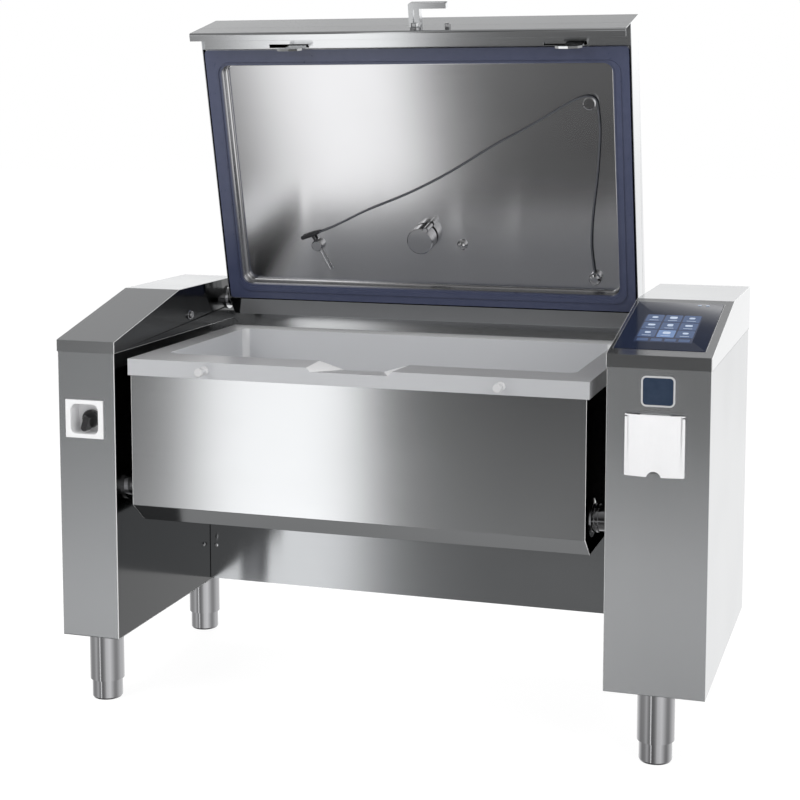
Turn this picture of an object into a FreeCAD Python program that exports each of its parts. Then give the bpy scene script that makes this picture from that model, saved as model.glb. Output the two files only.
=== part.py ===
import FreeCAD, Part
import math
import os
import re
import Sketcher

# Tilting multifunction cooker: two columns on legs carry a tilting pan and a hinged pressure lid.
# Every piece is drawn in shop coordinates: X from the left column's outer side, Y back from the
# columns' front, Z up from the floor, with the pan level and the lid closed. GROUPS then moves the
# pieces to the row's frame and swings the lid's pieces open, which is the rest position.

V = FreeCAD.Vector
doc = FreeCAD.newDocument("tilting_cooker")

# Driving dimensions in millimetres and degrees.
SIZES = {
    # columns
    "column_depth": 764,
    "left_width": 161,
    "right_width": 239,
    "side_gap": 36.5,
    "column_base": 179,
    "sheet_wall": 2,
    "hood_step": 2,
    "hood_lap": 15,
    "left_skirt_rise": 10,
    "left_nose_rise": 39,
    "left_crown_rise": 130,
    "left_slope": 383,
    "right_skirt_rise": 37,
    "right_nose_rise": 67,
    "right_crown_rise": 148,
    "right_slope": 410,
    "beam_front": 570,
    "beam_lift": 6,
    "beam_gap": 18,
    "beam_flange": 45,
    "beam_wall": 3,
    "base_wall": 3,
    # legs
    "left_leg_inset": 87,
    "right_leg_inset": 124,
    "leg_front": 75,
    "leg_back": 685,
    "leg_radius": 44,
    "leg_wall": 3,
    "foot_radius": 39,
    "foot_show": 52,
    "foot_insert": 60,
    "foot_round": 6,
    # pan
    "rim_height": 900,
    "rim_width": 1161,
    "rim_depth": 676,
    "rim_skirt": 41,
    "rim_sheet": 3,
    "cavity_side": 56,
    "cavity_front": 115,
    "cavity_back": 67,
    "cavity_drop": 250,
    "cavity_corner": 20,
    "cavity_round": 18,
    "vessel_wall": 3,
    "vessel_floor": 8,
    "spout_drop": 20,
    "spout_lip_drop": 10,
    "spout_floor": 100,
    "spout_top": 236,
    "spout_lip_floor": 196,
    "spout_lip_top": 216,
    "jacket_side": 6.7,
    "jacket_front": 3.3,
    "jacket_back": 6,
    "jacket_seat": 26,
    "jacket_depth": 420,
    "chamfer_rise": 50,
    "chamfer_depth": 60,
    "plate_thick": 12,
    "insulation_thick": 45,
    "inner_clearance": 0.3,
    "stud_spread": 373,
    "stud_drop": 20,
    "stud_neck": 7,
    "stud_head": 11,
    "stud_reach": 31,
    "stud_head_thick": 8,
    # tilting axis
    "tilt_y": 75,
    "tilt_drop": 332,
    "trunnion_radius": 30,
    "trunnion_wall": 5,
    "trunnion_ring": 34,
    "trunnion_end": 60,
    "bush_clearance": 0.05,
    "gearbox_half": 60,
    "gearbox_length": 68,
    "motor_radius": 34,
    "motor_length": 190,
    # lid
    "hinge_inset": 51,
    "hinge_rise": 75,
    "lid_open": 76.5,
    "lid_overhang": 1.5,
    "lid_reach": 79,
    "lid_tail": 32,
    "lid_height": 118,
    "lid_heel": 29,
    "lid_sheet": 2,
    "seal_gap": 1,
    "seal_inset": 5,
    "seal_front": -19,
    "seal_tail": 26,
    "seal_band": 41,
    "seal_depth": 12,
    "seal_bead": 13,
    "seal_groove": 3,
    "seal_corner": 26,
    "shell_lift": 4,
    "panel_recess": 35,
    "apron_drop": 67,
    "apron_lip": 21,
    "shaft_radius": 25,
    "shaft_inside": 62,
    "bar_radius": 12,
    # lid lock
    "lock_travel": 36,
    "bar_front": -30,
    "bar_thick": 6,
    "bar_lift": 22,
    "bar_height": 28,
    "hook_depth": 22,
    "hook_play": 0.8,
    "hook_width": 68,
    "hook_shank": 48,
    "spindle_offset": 37,
    "spindle_drop": 32,
    "spindle_radius": 8,
    "crank_radius": 25.5,
    "crank_disc": 31,
    "crank_pin": 5,
    "pin_play": 1.2,
    "link_front": -69,
    "lever_reach": 100,
    "lever_rise": 66,
    "lever_width": 22,
    # lid fittings, from the middle of the pan and the closed lid
    "fitted_width": 1161,
    "fitted_depth": 713,
    "vent_y": 502,
    "vent_radius": 36,
    "vent_height": 50,
    "nozzle_x": 105,
    "nozzle_y": 523,
    "gland_x": 466,
    "gland_y": 605,
    "knob_x": 468.5,
    "knob_y": 130,
    "knob_radius": 17,
    "knob_stem": 10,
    "holder_x": -309,
    "holder_y": 533.5,
    "holder_radius": 16,
    "cord_depth": 9,
    "cord_width": 4.5,
    "needle_radius": 1.8,
    # controls
    "glass_width": 209,
    "glass_low": 40,
    "glass_length": 349,
    "glass_thick": 5,
    "glass_inset": 9,
    "plate_width": 77,
    "plate_height": 70,
    "plate_drop": 14,
    "flap_x": 114,
    "flap_width": 136,
    "flap_drop": 207.5,
    "flap_height": 141,
    "flap_bow": 9,
    "flap_sheet": 2.5,
    "flap_stand": 15,
    "flap_pin_drop": 4.5,
    "flap_pin_y": -5.5,
    "ear_half": 2.8,
    "ear_width": 6,
    "pin_radius": 2,
    "switch_x": 75.5,
    "switch_drop": 159,
    "switch_width": 105,
    "switch_height": 97,
    "cup_size": 76,
    "cup_corner": 16,
    "cup_depth": 40,
    "knob_grip": 29,
    "knob_drop": 5,
}

sheet = doc.addObject("Spreadsheet::Sheet", "Sizes")
for row, (name, value) in enumerate(SIZES.items(), 1):
    sheet.set(f"A{row}", name)
    sheet.set(f"B{row}", str(value))
    sheet.setAlias(f"B{row}", name)
doc.recompute()


def bound(text):
    """An expression of size names, written so that the document's objects can use it."""
    def alias(word):
        return "Sizes." + word.group(0) if word.group(0) in SIZES else word.group(0)

    return re.sub(r"[A-Za-z_]\w*", alias, text)


def number(text):
    """The present value of an expression of size names."""
    return float(sheet.evalExpression(bound(str(text))))


def point(x, y, z):
    return V(number(x), number(y), number(z))


# Shared places, as expressions.
PAN_LEFT = "(left_width + side_gap)"
MID = f"({PAN_LEFT} + rim_width / 2)"
RIGHT = f"({PAN_LEFT} + rim_width + side_gap)"
TOTAL = f"({RIGHT} + right_width)"
LEFT_SKIRT, RIGHT_SKIRT = "(rim_height + left_skirt_rise)", "(rim_height + right_skirt_rise)"
LEFT_NOSE, RIGHT_NOSE = "(rim_height + left_nose_rise)", "(rim_height + right_nose_rise)"
LEFT_CROWN, RIGHT_CROWN = "(rim_height + left_crown_rise)", "(rim_height + right_crown_rise)"
TILT_Z = "(rim_height - tilt_drop)"
JACKET_FOOT = "(rim_height - jacket_depth)"
BEAM_FOOT = "(column_base + beam_lift)"
BEAM_TOP = f"({JACKET_FOOT} - beam_gap)"
HINGE_Z = "(rim_height + hinge_rise)"
HINGE_Y = "(column_depth - hinge_inset)"
LID_BACK = f"({HINGE_Y} + lid_tail)"
SEAL_REAR = f"({HINGE_Y} - seal_tail)"
ACROSS, ALONG = "(rim_width / fitted_width)", f"({HINGE_Y} / fitted_depth)"
STUD_Z = "(rim_height - stud_drop)"
SPINDLE_Z = "(rim_height - spindle_drop)"
BAR_LOW = "(rim_height + bar_lift)"
BAR_HIGH = f"({BAR_LOW} + bar_height)"
HOOK_LOW = f"({STUD_Z} - hook_depth)"
LID_WIDTH = "(rim_width + 2 * lid_overhang)"
SEAL_WIDTH = "(rim_width - 2 * seal_inset)"
PLATE_Z = "(rim_height - plate_drop)"
FLAP_FOOT = "(rim_height - flap_drop)"
FLAP_PIN_Z = f"({FLAP_FOOT} + flap_height - flap_pin_drop)"
SWITCH_Z = "(rim_height - switch_drop)"
SEAL_Z = "(rim_height + seal_gap)"
TRAY_Z = f"({SEAL_Z} + seal_depth)"
SHELL_Z = f"({SEAL_Z} + shell_lift)"
LID_TOP = f"({SEAL_Z} + lid_height)"
PANEL_Z = f"({SEAL_Z} + panel_recess)"
LID_LEFT = f"({MID} - {LID_WIDTH} / 2)"
JACKET_LEFT = f"({PAN_LEFT} + jacket_side)"
JACKET_RIGHT = f"({PAN_LEFT} + rim_width - jacket_side)"
APRON_Z = f"({SEAL_Z} - apron_drop)"

STUD_TIP = "(stud_reach + stud_head_thick)"
middle_y = (number("column_depth") - number(STUD_TIP)) / 2
to_row = FreeCAD.Placement(V(-number(TOTAL) / 2, -middle_y, 0), FreeCAD.Rotation())
swing = FreeCAD.Placement(
    V(0, 0, 0),
    FreeCAD.Rotation(V(1, 0, 0), -number("lid_open")),
    point("0", HINGE_Y, HINGE_Z),
)
GROUPS = {"frame": to_row, "lid": to_row.multiply(swing)}
nodes = {}


def node(label, thing, group="frame", local=None):
    """Makes a finished object a named piece of the cooker, at its place in the row's frame."""
    thing.Label = label
    place = GROUPS[group].multiply(local or thing.Placement)
    for path, text in thing.ExpressionEngine:
        if "Placement" in path:
            thing.setExpression(path, None)
    thing.Placement = place
    nodes[label] = thing
    return thing


PLANES = {"XY": ("XY_Plane", 1), "XZ": ("XZ_Plane", -1), "YZ": ("YZ_Plane", 1)}


def new_body(name):
    return doc.addObject("PartDesign::Body", name)


def sketch(body, plane, loops, start):
    """A sketch of closed loops on a plane of the body, moved along the axis across that plane."""
    role, sign = PLANES[plane]
    drawing = body.newObject("Sketcher::SketchObject", "Outline")
    face = next(f for f in body.Origin.OriginFeatures if f.Role == role)
    drawing.AttachmentSupport = [(face, "")]
    drawing.MapMode = "FlatFace"
    drawing.setExpression(".AttachmentOffset.Base.z", bound(f"{sign} * ({start})"))
    for loop in loops:
        if loop[0] == "circle":
            draw_circle(drawing, *loop[1:])
        else:
            draw_outline(drawing, loop)
    return drawing


def fix_point(drawing, geometry, spot, x, y):
    for kind, text, axis in (("DistanceX", x, -2), ("DistanceY", y, -1)):
        if text == "0":
            drawing.addConstraint(Sketcher.Constraint("PointOnObject", geometry, spot, axis))
        else:
            made = drawing.addConstraint(Sketcher.Constraint(kind, -1, 1, geometry, spot, number(text)))
            drawing.setExpression(f"Constraints[{made}]", bound(text))


def draw_outline(drawing, corners):
    """Straight lines from corner to corner, every corner held by its two expressions."""
    spots = [V(number(x), number(y), 0) for x, y in corners]
    first = drawing.GeometryCount
    count = len(spots)
    for i in range(count):
        drawing.addGeometry(Part.LineSegment(spots[i], spots[(i + 1) % count]))
    for i in range(count):
        drawing.addConstraint(Sketcher.Constraint("Coincident", first + i, 2, first + (i + 1) % count, 1))
        fix_point(drawing, first + i, 1, *corners[i])


def draw_circle(drawing, x, y, radius):
    made = drawing.addGeometry(Part.Circle(V(number(x), number(y), 0), V(0, 0, 1), number(radius)))
    fix_point(drawing, made, 3, x, y)
    size = drawing.addConstraint(Sketcher.Constraint("Radius", made, number(radius)))
    drawing.setExpression(f"Constraints[{size}]", bound(radius))


def rectangle(x_low, x_high, y_low, y_high):
    return [(x_low, y_low), (x_high, y_low), (x_high, y_high), (x_low, y_high)]


def pad(body, plane, loops, start, length):
    """Adds an outline's prism from start over length, along the axis across the plane."""
    feature = body.newObject("PartDesign::Pad", "Pad")
    feature.Profile = sketch(body, plane, loops, start)
    feature.setExpression("Length", bound(length))
    feature.Reversed = plane == "XZ"
    doc.recompute()
    return feature


def pocket(body, plane, loops, start, length):
    """Takes an outline's prism away, from start over length along the axis across the plane."""
    before = body.Shape.Volume
    feature = body.newObject("PartDesign::Pocket", "Pocket")
    feature.Profile = sketch(body, plane, loops, start)
    feature.setExpression("Length", bound(length))
    feature.Reversed = plane != "XZ"
    doc.recompute()
    if body.Shape.Volume >= before:
        raise ValueError(f"a pocket in {body.Name} cuts nothing")
    return feature


def prism(name, plane, loops, start, length):
    body = new_body(name)
    pad(body, plane, loops, start, length)
    return body


def round_edges(body, radius, wanted):
    """Rounds the edges that wanted picks from the body's shape."""
    tip = body.Tip
    picked = [f"Edge{i}" for i, edge in enumerate(tip.Shape.Edges, 1) if wanted(edge)]
    if not picked:
        raise ValueError(f"no edge to round in {body.Name}")
    feature = body.newObject("PartDesign::Fillet", "Fillet")
    feature.Base = (tip, picked)
    feature.setExpression("Radius", bound(radius))
    doc.recompute()
    return feature


def hollow(body, wall, opened):
    """Shells the body inwards, open at the face that opened scores highest."""
    tip = body.Tip
    faces = tip.Shape.Faces
    best = max(range(len(faces)), key=lambda i: opened(faces[i]))
    feature = body.newObject("PartDesign::Thickness", "Shell")
    feature.Base = (tip, [f"Face{best + 1}"])
    feature.setExpression("Value", bound(wall))
    feature.Reversed = True
    feature.Join = 1
    doc.recompute()
    return feature


def along(edge, axis):
    """Whether a straight edge runs along an axis."""
    ends = edge.Vertexes
    if len(ends) != 2 or not isinstance(edge.Curve, Part.Line):
        return False
    way = ends[1].Point - ends[0].Point
    return abs(abs(way.dot(axis)) - way.Length) < 1e-6


def near(value, text):
    return abs(value - number(text)) < 0.01


def turned(name, profile, at=("0", "0", "0"), axis=V(0, 0, 1)):
    """A revolved piece: profile is (radius, height) corners, stood at a point along an axis."""
    body = new_body(name)
    feature = body.newObject("PartDesign::Revolution", "Revolution")
    feature.Profile = sketch(body, "XZ", [profile], "0")
    feature.ReferenceAxis = (feature.Profile[0], ["V_Axis"])
    feature.Angle = 360
    doc.recompute()
    body.Placement = FreeCAD.Placement(point(*at), FreeCAD.Rotation(V(0, 0, 1), axis))
    return body


def ring_profile(inner, outer, low, high):
    return [(inner, low), (outer, low), (outer, high), (inner, high)]


def block(name, low, size):
    """A box from its lowest corner and its three sizes."""
    box = doc.addObject("Part::Box", name)
    for side, text in zip(("Length", "Width", "Height"), size):
        box.setExpression(side, bound(text))
    for letter, text in zip("xyz", low):
        box.setExpression(f".Placement.Base.{letter}", bound(text))
    doc.recompute()
    return box


def rod(name, radius, length, at, axis):
    """A cylinder from a point along an axis."""
    cylinder = doc.addObject("Part::Cylinder", name)
    cylinder.setExpression("Radius", bound(radius))
    cylinder.setExpression("Height", bound(length))
    cylinder.Placement = FreeCAD.Placement(point(*at), FreeCAD.Rotation(V(0, 0, 1), axis))
    doc.recompute()
    return cylinder


def joined(name, *things):
    fuse = doc.addObject("Part::MultiFuse", name)
    fuse.Shapes = list(things)
    fuse.Refine = True
    doc.recompute()
    return fuse


def cut(name, base, *tools):
    """The base less the tools. A tool that takes nothing away is a mistake."""
    result = doc.addObject("Part::Cut", name)
    result.Base = base
    result.Tool = tools[0] if len(tools) == 1 else joined(name + "Tools", *tools)
    result.Refine = True
    doc.recompute()
    if result.Shape.Volume >= base.Shape.Volume:
        raise ValueError(f"{name} cuts nothing")
    return result


def group_of(name, things):
    """Separate solids that share one node."""
    compound = doc.addObject("Part::Compound", name)
    compound.Links = things
    doc.recompute()
    return compound


X_AXIS = V(1, 0, 0)
Y_AXIS = V(0, 1, 0)
Z_AXIS = V(0, 0, 1)


def column_casing(name, left, width, skirt):
    """A column's folded casing: a square tube of sheet from the base up into the hood."""
    low = f"({left} + hood_step)"
    high = f"({left} + {width} - hood_step)"
    front, back = "hood_step", "(column_depth - hood_step)"
    outer = rectangle(low, high, front, back)
    inner = rectangle(
        f"{low} + sheet_wall", f"{high} - sheet_wall", f"{front} + sheet_wall", f"{back} - sheet_wall"
    )
    return prism(name, "XY", [outer, inner], "column_base", f"{skirt} + hood_lap - column_base")


def column_hood(name, left, width, skirt, nose, crown, slope):
    """A column's hood: nose, slope and crown folded from one sheet, open below."""
    side = [
        ("0", skirt),
        ("column_depth", skirt),
        ("column_depth", crown),
        (slope, crown),
        ("0", nose),
    ]
    body = prism(name, "YZ", [side], left, width)
    hollow(body, "hood_step - 0.3", lambda face: -face.CenterOfMass.z)
    return body


def build_columns():
    """Both casings, hoods, base plates, the crossbeam between them and the screws that show."""
    trunnion_hole = "trunnion_radius + 6"
    left_hole = rod("LeftTrunnionHole", trunnion_hole, "20", ("left_width - 10", "tilt_y", TILT_Z), X_AXIS)
    half_cup = "(cup_size / 2 + 2)"
    cup_hole = block(
        "CupHole",
        (f"switch_x - {half_cup}", "-1", f"{SWITCH_Z} - {half_cup}"),
        (f"2 * {half_cup}", "10", f"2 * {half_cup}"),
    )
    casing = column_casing("LeftTube", "0", "left_width", LEFT_SKIRT)
    node("left_casing", cut("LeftCasing", casing, left_hole, cup_hole))

    hood = column_hood("LeftHoodSheet", "0", "left_width", LEFT_SKIRT, LEFT_NOSE, LEFT_CROWN, "left_slope")
    at = ("left_width - 10", HINGE_Y, HINGE_Z)
    shaft_hole = rod("LeftShaftHole", "shaft_radius + 4", "20", at, X_AXIS)
    node("left_hood", cut("LeftHood", hood, shaft_hole))

    right_hole = rod("RightTrunnionHole", trunnion_hole, "20", (f"{RIGHT} - 10", "tilt_y", TILT_Z), X_AXIS)
    tray_hole = block(
        "TrayHole",
        (f"{RIGHT} + flap_x - flap_width / 2 + 12", "-1", f"{FLAP_FOOT} + 12"),
        ("flap_width - 24", "10", "flap_height - 30"),
    )
    casing = column_casing("RightTube", RIGHT, "right_width", RIGHT_SKIRT)
    notch = rod("ShaftNotch", "shaft_radius + 20", "20", (f"{RIGHT} - 10", HINGE_Y, HINGE_Z), X_AXIS)
    node("right_casing", cut("RightCasing", casing, right_hole, tray_hole, notch))

    heights = (RIGHT_SKIRT, RIGHT_NOSE, RIGHT_CROWN)
    hood = column_hood("RightHoodSheet", RIGHT, "right_width", *heights, "right_slope")
    at = (f"{RIGHT} - 10", HINGE_Y, HINGE_Z)
    shaft_hole = rod("RightShaftHole", "shaft_radius + 4", "20", at, X_AXIS)
    outline = glass_outline("inner_clearance")
    opening = prism("GlassOpening", "XY", [outline], "-glass_thick", "3 * glass_thick")
    opening.Placement = slope_place()
    node("right_hood", cut("RightHood", hood, shaft_hole, opening))

    plates = []
    for left, width in (("0", "left_width"), (RIGHT, "right_width")):
        inset = "(hood_step + sheet_wall)"
        plates.append(
            block(
                "BasePlate",
                (f"{left} + {inset}", inset, "column_base"),
                (f"{width} - 2 * {inset}", f"column_depth - 2 * {inset}", "base_wall"),
            )
        )
    node("base_plates", group_of("BasePlates", plates))

    channel = [
        ("beam_front", BEAM_FOOT),
        ("beam_front + beam_flange", BEAM_FOOT),
        ("beam_front + beam_flange", f"{BEAM_FOOT} + beam_wall"),
        ("beam_front + beam_wall", f"{BEAM_FOOT} + beam_wall"),
        ("beam_front + beam_wall", f"{BEAM_TOP} - beam_wall"),
        ("beam_front + beam_flange", f"{BEAM_TOP} - beam_wall"),
        ("beam_front + beam_flange", BEAM_TOP),
        ("beam_front", BEAM_TOP),
    ]
    beam_left = "(left_width - hood_step)"
    node("crossbeam", prism("Crossbeam", "YZ", [channel], beam_left, f"{RIGHT} + hood_step - {beam_left}"))

    head = [("0", "0"), ("6", "0"), ("6", "1.6"), ("4", "3"), ("0", "3")]
    bolt = [("0", "0"), ("13", "0"), ("13", "2"), ("10", "3"), ("10", "8"), ("8", "10"), ("0", "10")]
    screws = []
    for side, rim in ((1, "left_width"), (-1, RIGHT)):
        at = (f"{rim} + {side} * 16", "beam_front", f"{BEAM_FOOT} + 96")
        screws.append(turned("BeamScrew", head, at, -Y_AXIS))
        at = (f"{rim} - {side} * hood_step", "beam_front - 45", f"{BEAM_FOOT} + 108")
        screws.append(turned("SideScrew", head, at, X_AXIS * side))
        screws.append(turned("HoodBolt", bolt, (rim, "445", f"{HINGE_Z} - 20"), X_AXIS * side))
    node("casing_screws", group_of("CasingScrews", screws))


def build_legs():
    """Four tube legs under the columns, each with a foot that screws in and out of it."""
    tubes, feet = [], []
    show = "foot_show"
    foot = [
        ("0", "0"),
        ("foot_radius - foot_round", "0"),
        ("foot_radius - foot_round / 3", "foot_round / 3"),
        ("foot_radius", "foot_round"),
        ("foot_radius", show),
        ("leg_radius - leg_wall", show),
        ("leg_radius - leg_wall", f"{show} + foot_insert"),
        ("0", f"{show} + foot_insert"),
    ]
    tube = ring_profile("leg_radius - leg_wall", "leg_radius", "0", "column_base - foot_show")
    for x in ("left_leg_inset", f"{TOTAL} - right_leg_inset"):
        for y in ("leg_front", "leg_back"):
            tubes.append(turned("LegTube", tube, (x, y, show)))
            feet.append(turned("Foot", foot, (x, y, "0")))
    node("leg_tubes", group_of("LegTubes", tubes))
    node("feet", group_of("Feet", feet))


def bearing(name, wall, way, at_y, at_z, bore, sleeve, collar, flange, step):
    """A flanged bush in a column's side wall: a collar outside, a sleeve through it, a flange inside."""
    profile = [
        (f"{bore} + bush_clearance", f"-{step} - sheet_wall - 12"),
        (flange, f"-{step} - sheet_wall - 12"),
        (flange, f"-{step} - sheet_wall"),
        (sleeve, f"-{step} - sheet_wall"),
        (sleeve, f"-{step}"),
        (collar, f"-{step}"),
        (collar, f"5 - {step}"),
        (f"{bore} + bush_clearance", f"5 - {step}"),
    ]
    return turned(name, profile, (wall, at_y, at_z), way)


def build_bearings():
    """Bushes for the pan's trunnions in the casings and for the lid's shafts in the hoods."""
    for side, wall, way in (("left", "left_width", X_AXIS), ("right", RIGHT, -X_AXIS)):
        name = f"trunnion_bearing_{side}"
        body = bearing(
            name, wall, way, "tilt_y", TILT_Z, "trunnion_radius",
            "trunnion_radius + 6", "trunnion_radius + 10", "trunnion_radius + 24", "hood_step",
        )
        node(name, body)
        name = f"lid_bearing_{side}"
        body = bearing(
            name, wall, way, HINGE_Y, HINGE_Z, "shaft_radius",
            "shaft_radius + 4", "shaft_radius + 8", "shaft_radius + 18", "0",
        )
        node(name, body)


def build_drive():
    """The pan's worm gearbox with its motor below it, and the torsion bar that balances the lid."""
    start = f"({RIGHT} + hood_step + sheet_wall + 12)"
    box = block(
        "GearCase",
        (start, "tilt_y - gearbox_half", f"{TILT_Z} - gearbox_half"),
        ("gearbox_length", "2 * gearbox_half", "2 * gearbox_half"),
    )
    hub = rod("GearHub", "gearbox_half - 14", "gearbox_length + 12", (start, "tilt_y", TILT_Z), X_AXIS)
    bore = rod(
        "GearBore",
        "trunnion_radius + bush_clearance",
        "gearbox_length + 40",
        (f"{start} - 10", "tilt_y", TILT_Z),
        X_AXIS,
    )
    case = joined("GearCaseHub", box, hub)
    node("tilt_gearbox", cut("TiltGearbox", case, bore))

    ribbed = [("0", "0"), ("motor_radius + 6", "0"), ("motor_radius + 6", "-10"), ("motor_radius", "-10")]
    fins = 6
    for i in range(fins):
        top = f"(-20 - {i} * (motor_length - 60) / {fins})"
        ribbed += [("motor_radius", top), ("motor_radius - 5", top)]
        ribbed += [("motor_radius - 5", f"{top} - 8"), ("motor_radius", f"{top} - 8")]
    ribbed += [("motor_radius", "-motor_length"), ("0", "-motor_length")]
    at = (f"{start} + gearbox_length / 2", "tilt_y", f"{TILT_Z} - gearbox_half")
    node("tilt_motor", turned("TiltMotor", ribbed, at))

    wall = "(hood_step - inner_clearance)"
    anchor = block("Anchor", (wall, f"{HINGE_Y} - 28", f"{HINGE_Z} - 28"), ("22", "46", "52"))
    node("torsion_anchor", anchor)
    reach = "left_width + side_gap + shaft_inside - 60"
    bar = [
        ("0", "0"), ("bar_radius + 4", "0"), ("bar_radius + 4", "14"), ("bar_radius", "20"),
        ("bar_radius", reach), ("0", reach),
    ]
    node("lid_torsion_bar", turned("TorsionBar", bar, (f"{wall} + 22", HINGE_Y, HINGE_Z), X_AXIS))


def slope_place():
    """The place of flat things on the right hood's slope: X across it, Y up along it."""
    rise = number(f"{RIGHT_CROWN} - {RIGHT_NOSE}")
    angle = math.degrees(math.atan2(rise, number("right_slope")))
    return FreeCAD.Placement(point(RIGHT, "0", RIGHT_NOSE), FreeCAD.Rotation(X_AXIS, angle))


def glass_outline(margin):
    return rectangle(
        f"glass_inset - {margin}",
        f"glass_inset + glass_width + {margin}",
        f"glass_low - {margin}",
        f"glass_low + glass_length + {margin}",
    )


def build_controls():
    """Touch glass and display in the slope, the control box, the bare plate, the flap and the switch."""
    sink = "glass_thick - 1"
    glass = prism("TouchGlass", "XY", [glass_outline("0")], f"-({sink})", "glass_thick")
    node("touch_glass", glass, local=slope_place())
    unit = block(
        "DisplayUnit",
        ("glass_inset + 12", "glass_low + 20", f"-({sink}) - 30"),
        ("glass_width - 24", "glass_length - 60", "30"),
    )
    node("display_unit", unit, local=slope_place().multiply(unit.Placement))

    box = new_body("ControlBox")
    floor = "(column_base + base_wall)"
    base = rectangle(f"{RIGHT} + 30", f"{TOTAL} - 12", "250", "column_depth - 64")
    pad(box, "XY", [base], floor, "420")
    round_edges(box, "6", lambda edge: along(edge, Z_AXIS))
    hollow(box, "1.5", lambda face: face.CenterOfMass.z)
    node("control_box", box)

    plate = new_body("NamePlate")
    half = "plate_width / 2"
    outline = rectangle(
        f"{RIGHT} + right_width / 2 - {half}",
        f"{RIGHT} + right_width / 2 + {half}",
        f"{PLATE_Z} - plate_height / 2",
        f"{PLATE_Z} + plate_height / 2",
    )
    pad(plate, "XZ", [outline], "hood_step - 3", "3")
    round_edges(plate, "12", lambda edge: along(edge, Y_AXIS))
    node("blank_plate", plate)
    build_flap()
    build_switch()


def build_flap():
    """The bowed service flap, its hinge pin and the tray that it closes."""
    mid = f"({RIGHT} + flap_x)"
    bend = "((flap_width ^ 2 / 4 + flap_bow ^ 2) / (2 * flap_bow))"
    at = (mid, f"{bend} - flap_stand", FLAP_FOOT)
    outer = rod("FlapOuter", bend, "flap_height", at, Z_AXIS)
    inner = rod("FlapInner", f"{bend} - flap_sheet", "flap_height", at, Z_AXIS)
    arch = cut("FlapArch", outer, inner)
    window = block(
        "FlapWindow",
        (f"{mid} - flap_width / 2", "-flap_stand - 1", FLAP_FOOT),
        ("flap_width", "flap_bow + flap_sheet", "flap_height"),
    )
    skin = doc.addObject("Part::Common", "FlapSkin")
    skin.Base = arch
    skin.Tool = window
    doc.recompute()
    barrel = rod("FlapBarrel", "4.5", "68", (f"{mid} - 34", "flap_pin_y", FLAP_PIN_Z), X_AXIS)
    at = (f"{mid} - 20", "-flap_stand + 1.5", f"{FLAP_PIN_Z} - 4")
    web = block("FlapWeb", at, ("40", "flap_stand - 6", "7"))
    skirt_size = ("flap_sheet", "flap_stand - flap_bow - 0.6", "flap_height - 20")
    skirts = [
        block("FlapSkirt", (x, "-flap_stand + flap_bow", FLAP_FOOT), skirt_size)
        for x in (f"{mid} - flap_width / 2", f"{mid} + flap_width / 2 - flap_sheet")
    ]
    whole = joined("FlapWhole", skin, barrel, web, *skirts)
    at = (f"{mid} - flap_width / 2", "flap_pin_y", FLAP_PIN_Z)
    bore = rod("FlapBore", "pin_radius + bush_clearance", "flap_width", at, X_AXIS)
    notch = rod("FingerNotch", "17", "40", (mid, "-flap_stand - 20", f"{FLAP_FOOT} - 4"), Y_AXIS)
    node("flap_cover", cut("FlapCover", whole, bore, notch))

    pin_length = "84"
    pin_left = f"({mid} - {pin_length} / 2)"
    node("flap_pin", rod("FlapPin", "pin_radius", pin_length, (pin_left, "flap_pin_y", FLAP_PIN_Z), X_AXIS))

    tray = block(
        "TrayBlock",
        (f"{mid} - flap_width / 2 + 13", "hood_step", f"{FLAP_FOOT} + 13"),
        ("flap_width - 26", "36", "flap_height - 32"),
    )
    hollow_part = block(
        "TrayHollow",
        (f"{mid} - flap_width / 2 + 15", "-1", f"{FLAP_FOOT} + 15"),
        ("flap_width - 30", "37", "flap_height - 36"),
    )
    flange = block(
        "TrayFlange",
        (f"{mid} - flap_width / 2 + 5", "0", f"{FLAP_FOOT} + 5"),
        ("flap_width - 10", "hood_step", "flap_height - 6"),
    )
    ears = []
    for x in (pin_left, f"{pin_left} + {pin_length} - ear_width"):
        ears.append(rod("TrayEarNose", "ear_half", "ear_width", (x, "flap_pin_y", FLAP_PIN_Z), X_AXIS))
        low = (x, "flap_pin_y", f"{FLAP_PIN_Z} - ear_half")
        ears.append(block("TrayEar", low, ("ear_width", "-flap_pin_y", "2 * ear_half")))
    shape = joined("TrayWhole", tray, flange, *ears)
    pin_hole = rod("EarHole", "pin_radius", pin_length, (pin_left, "flap_pin_y", FLAP_PIN_Z), X_AXIS)
    node("flap_tray", cut("FlapTray", shape, hollow_part, pin_hole))


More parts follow.
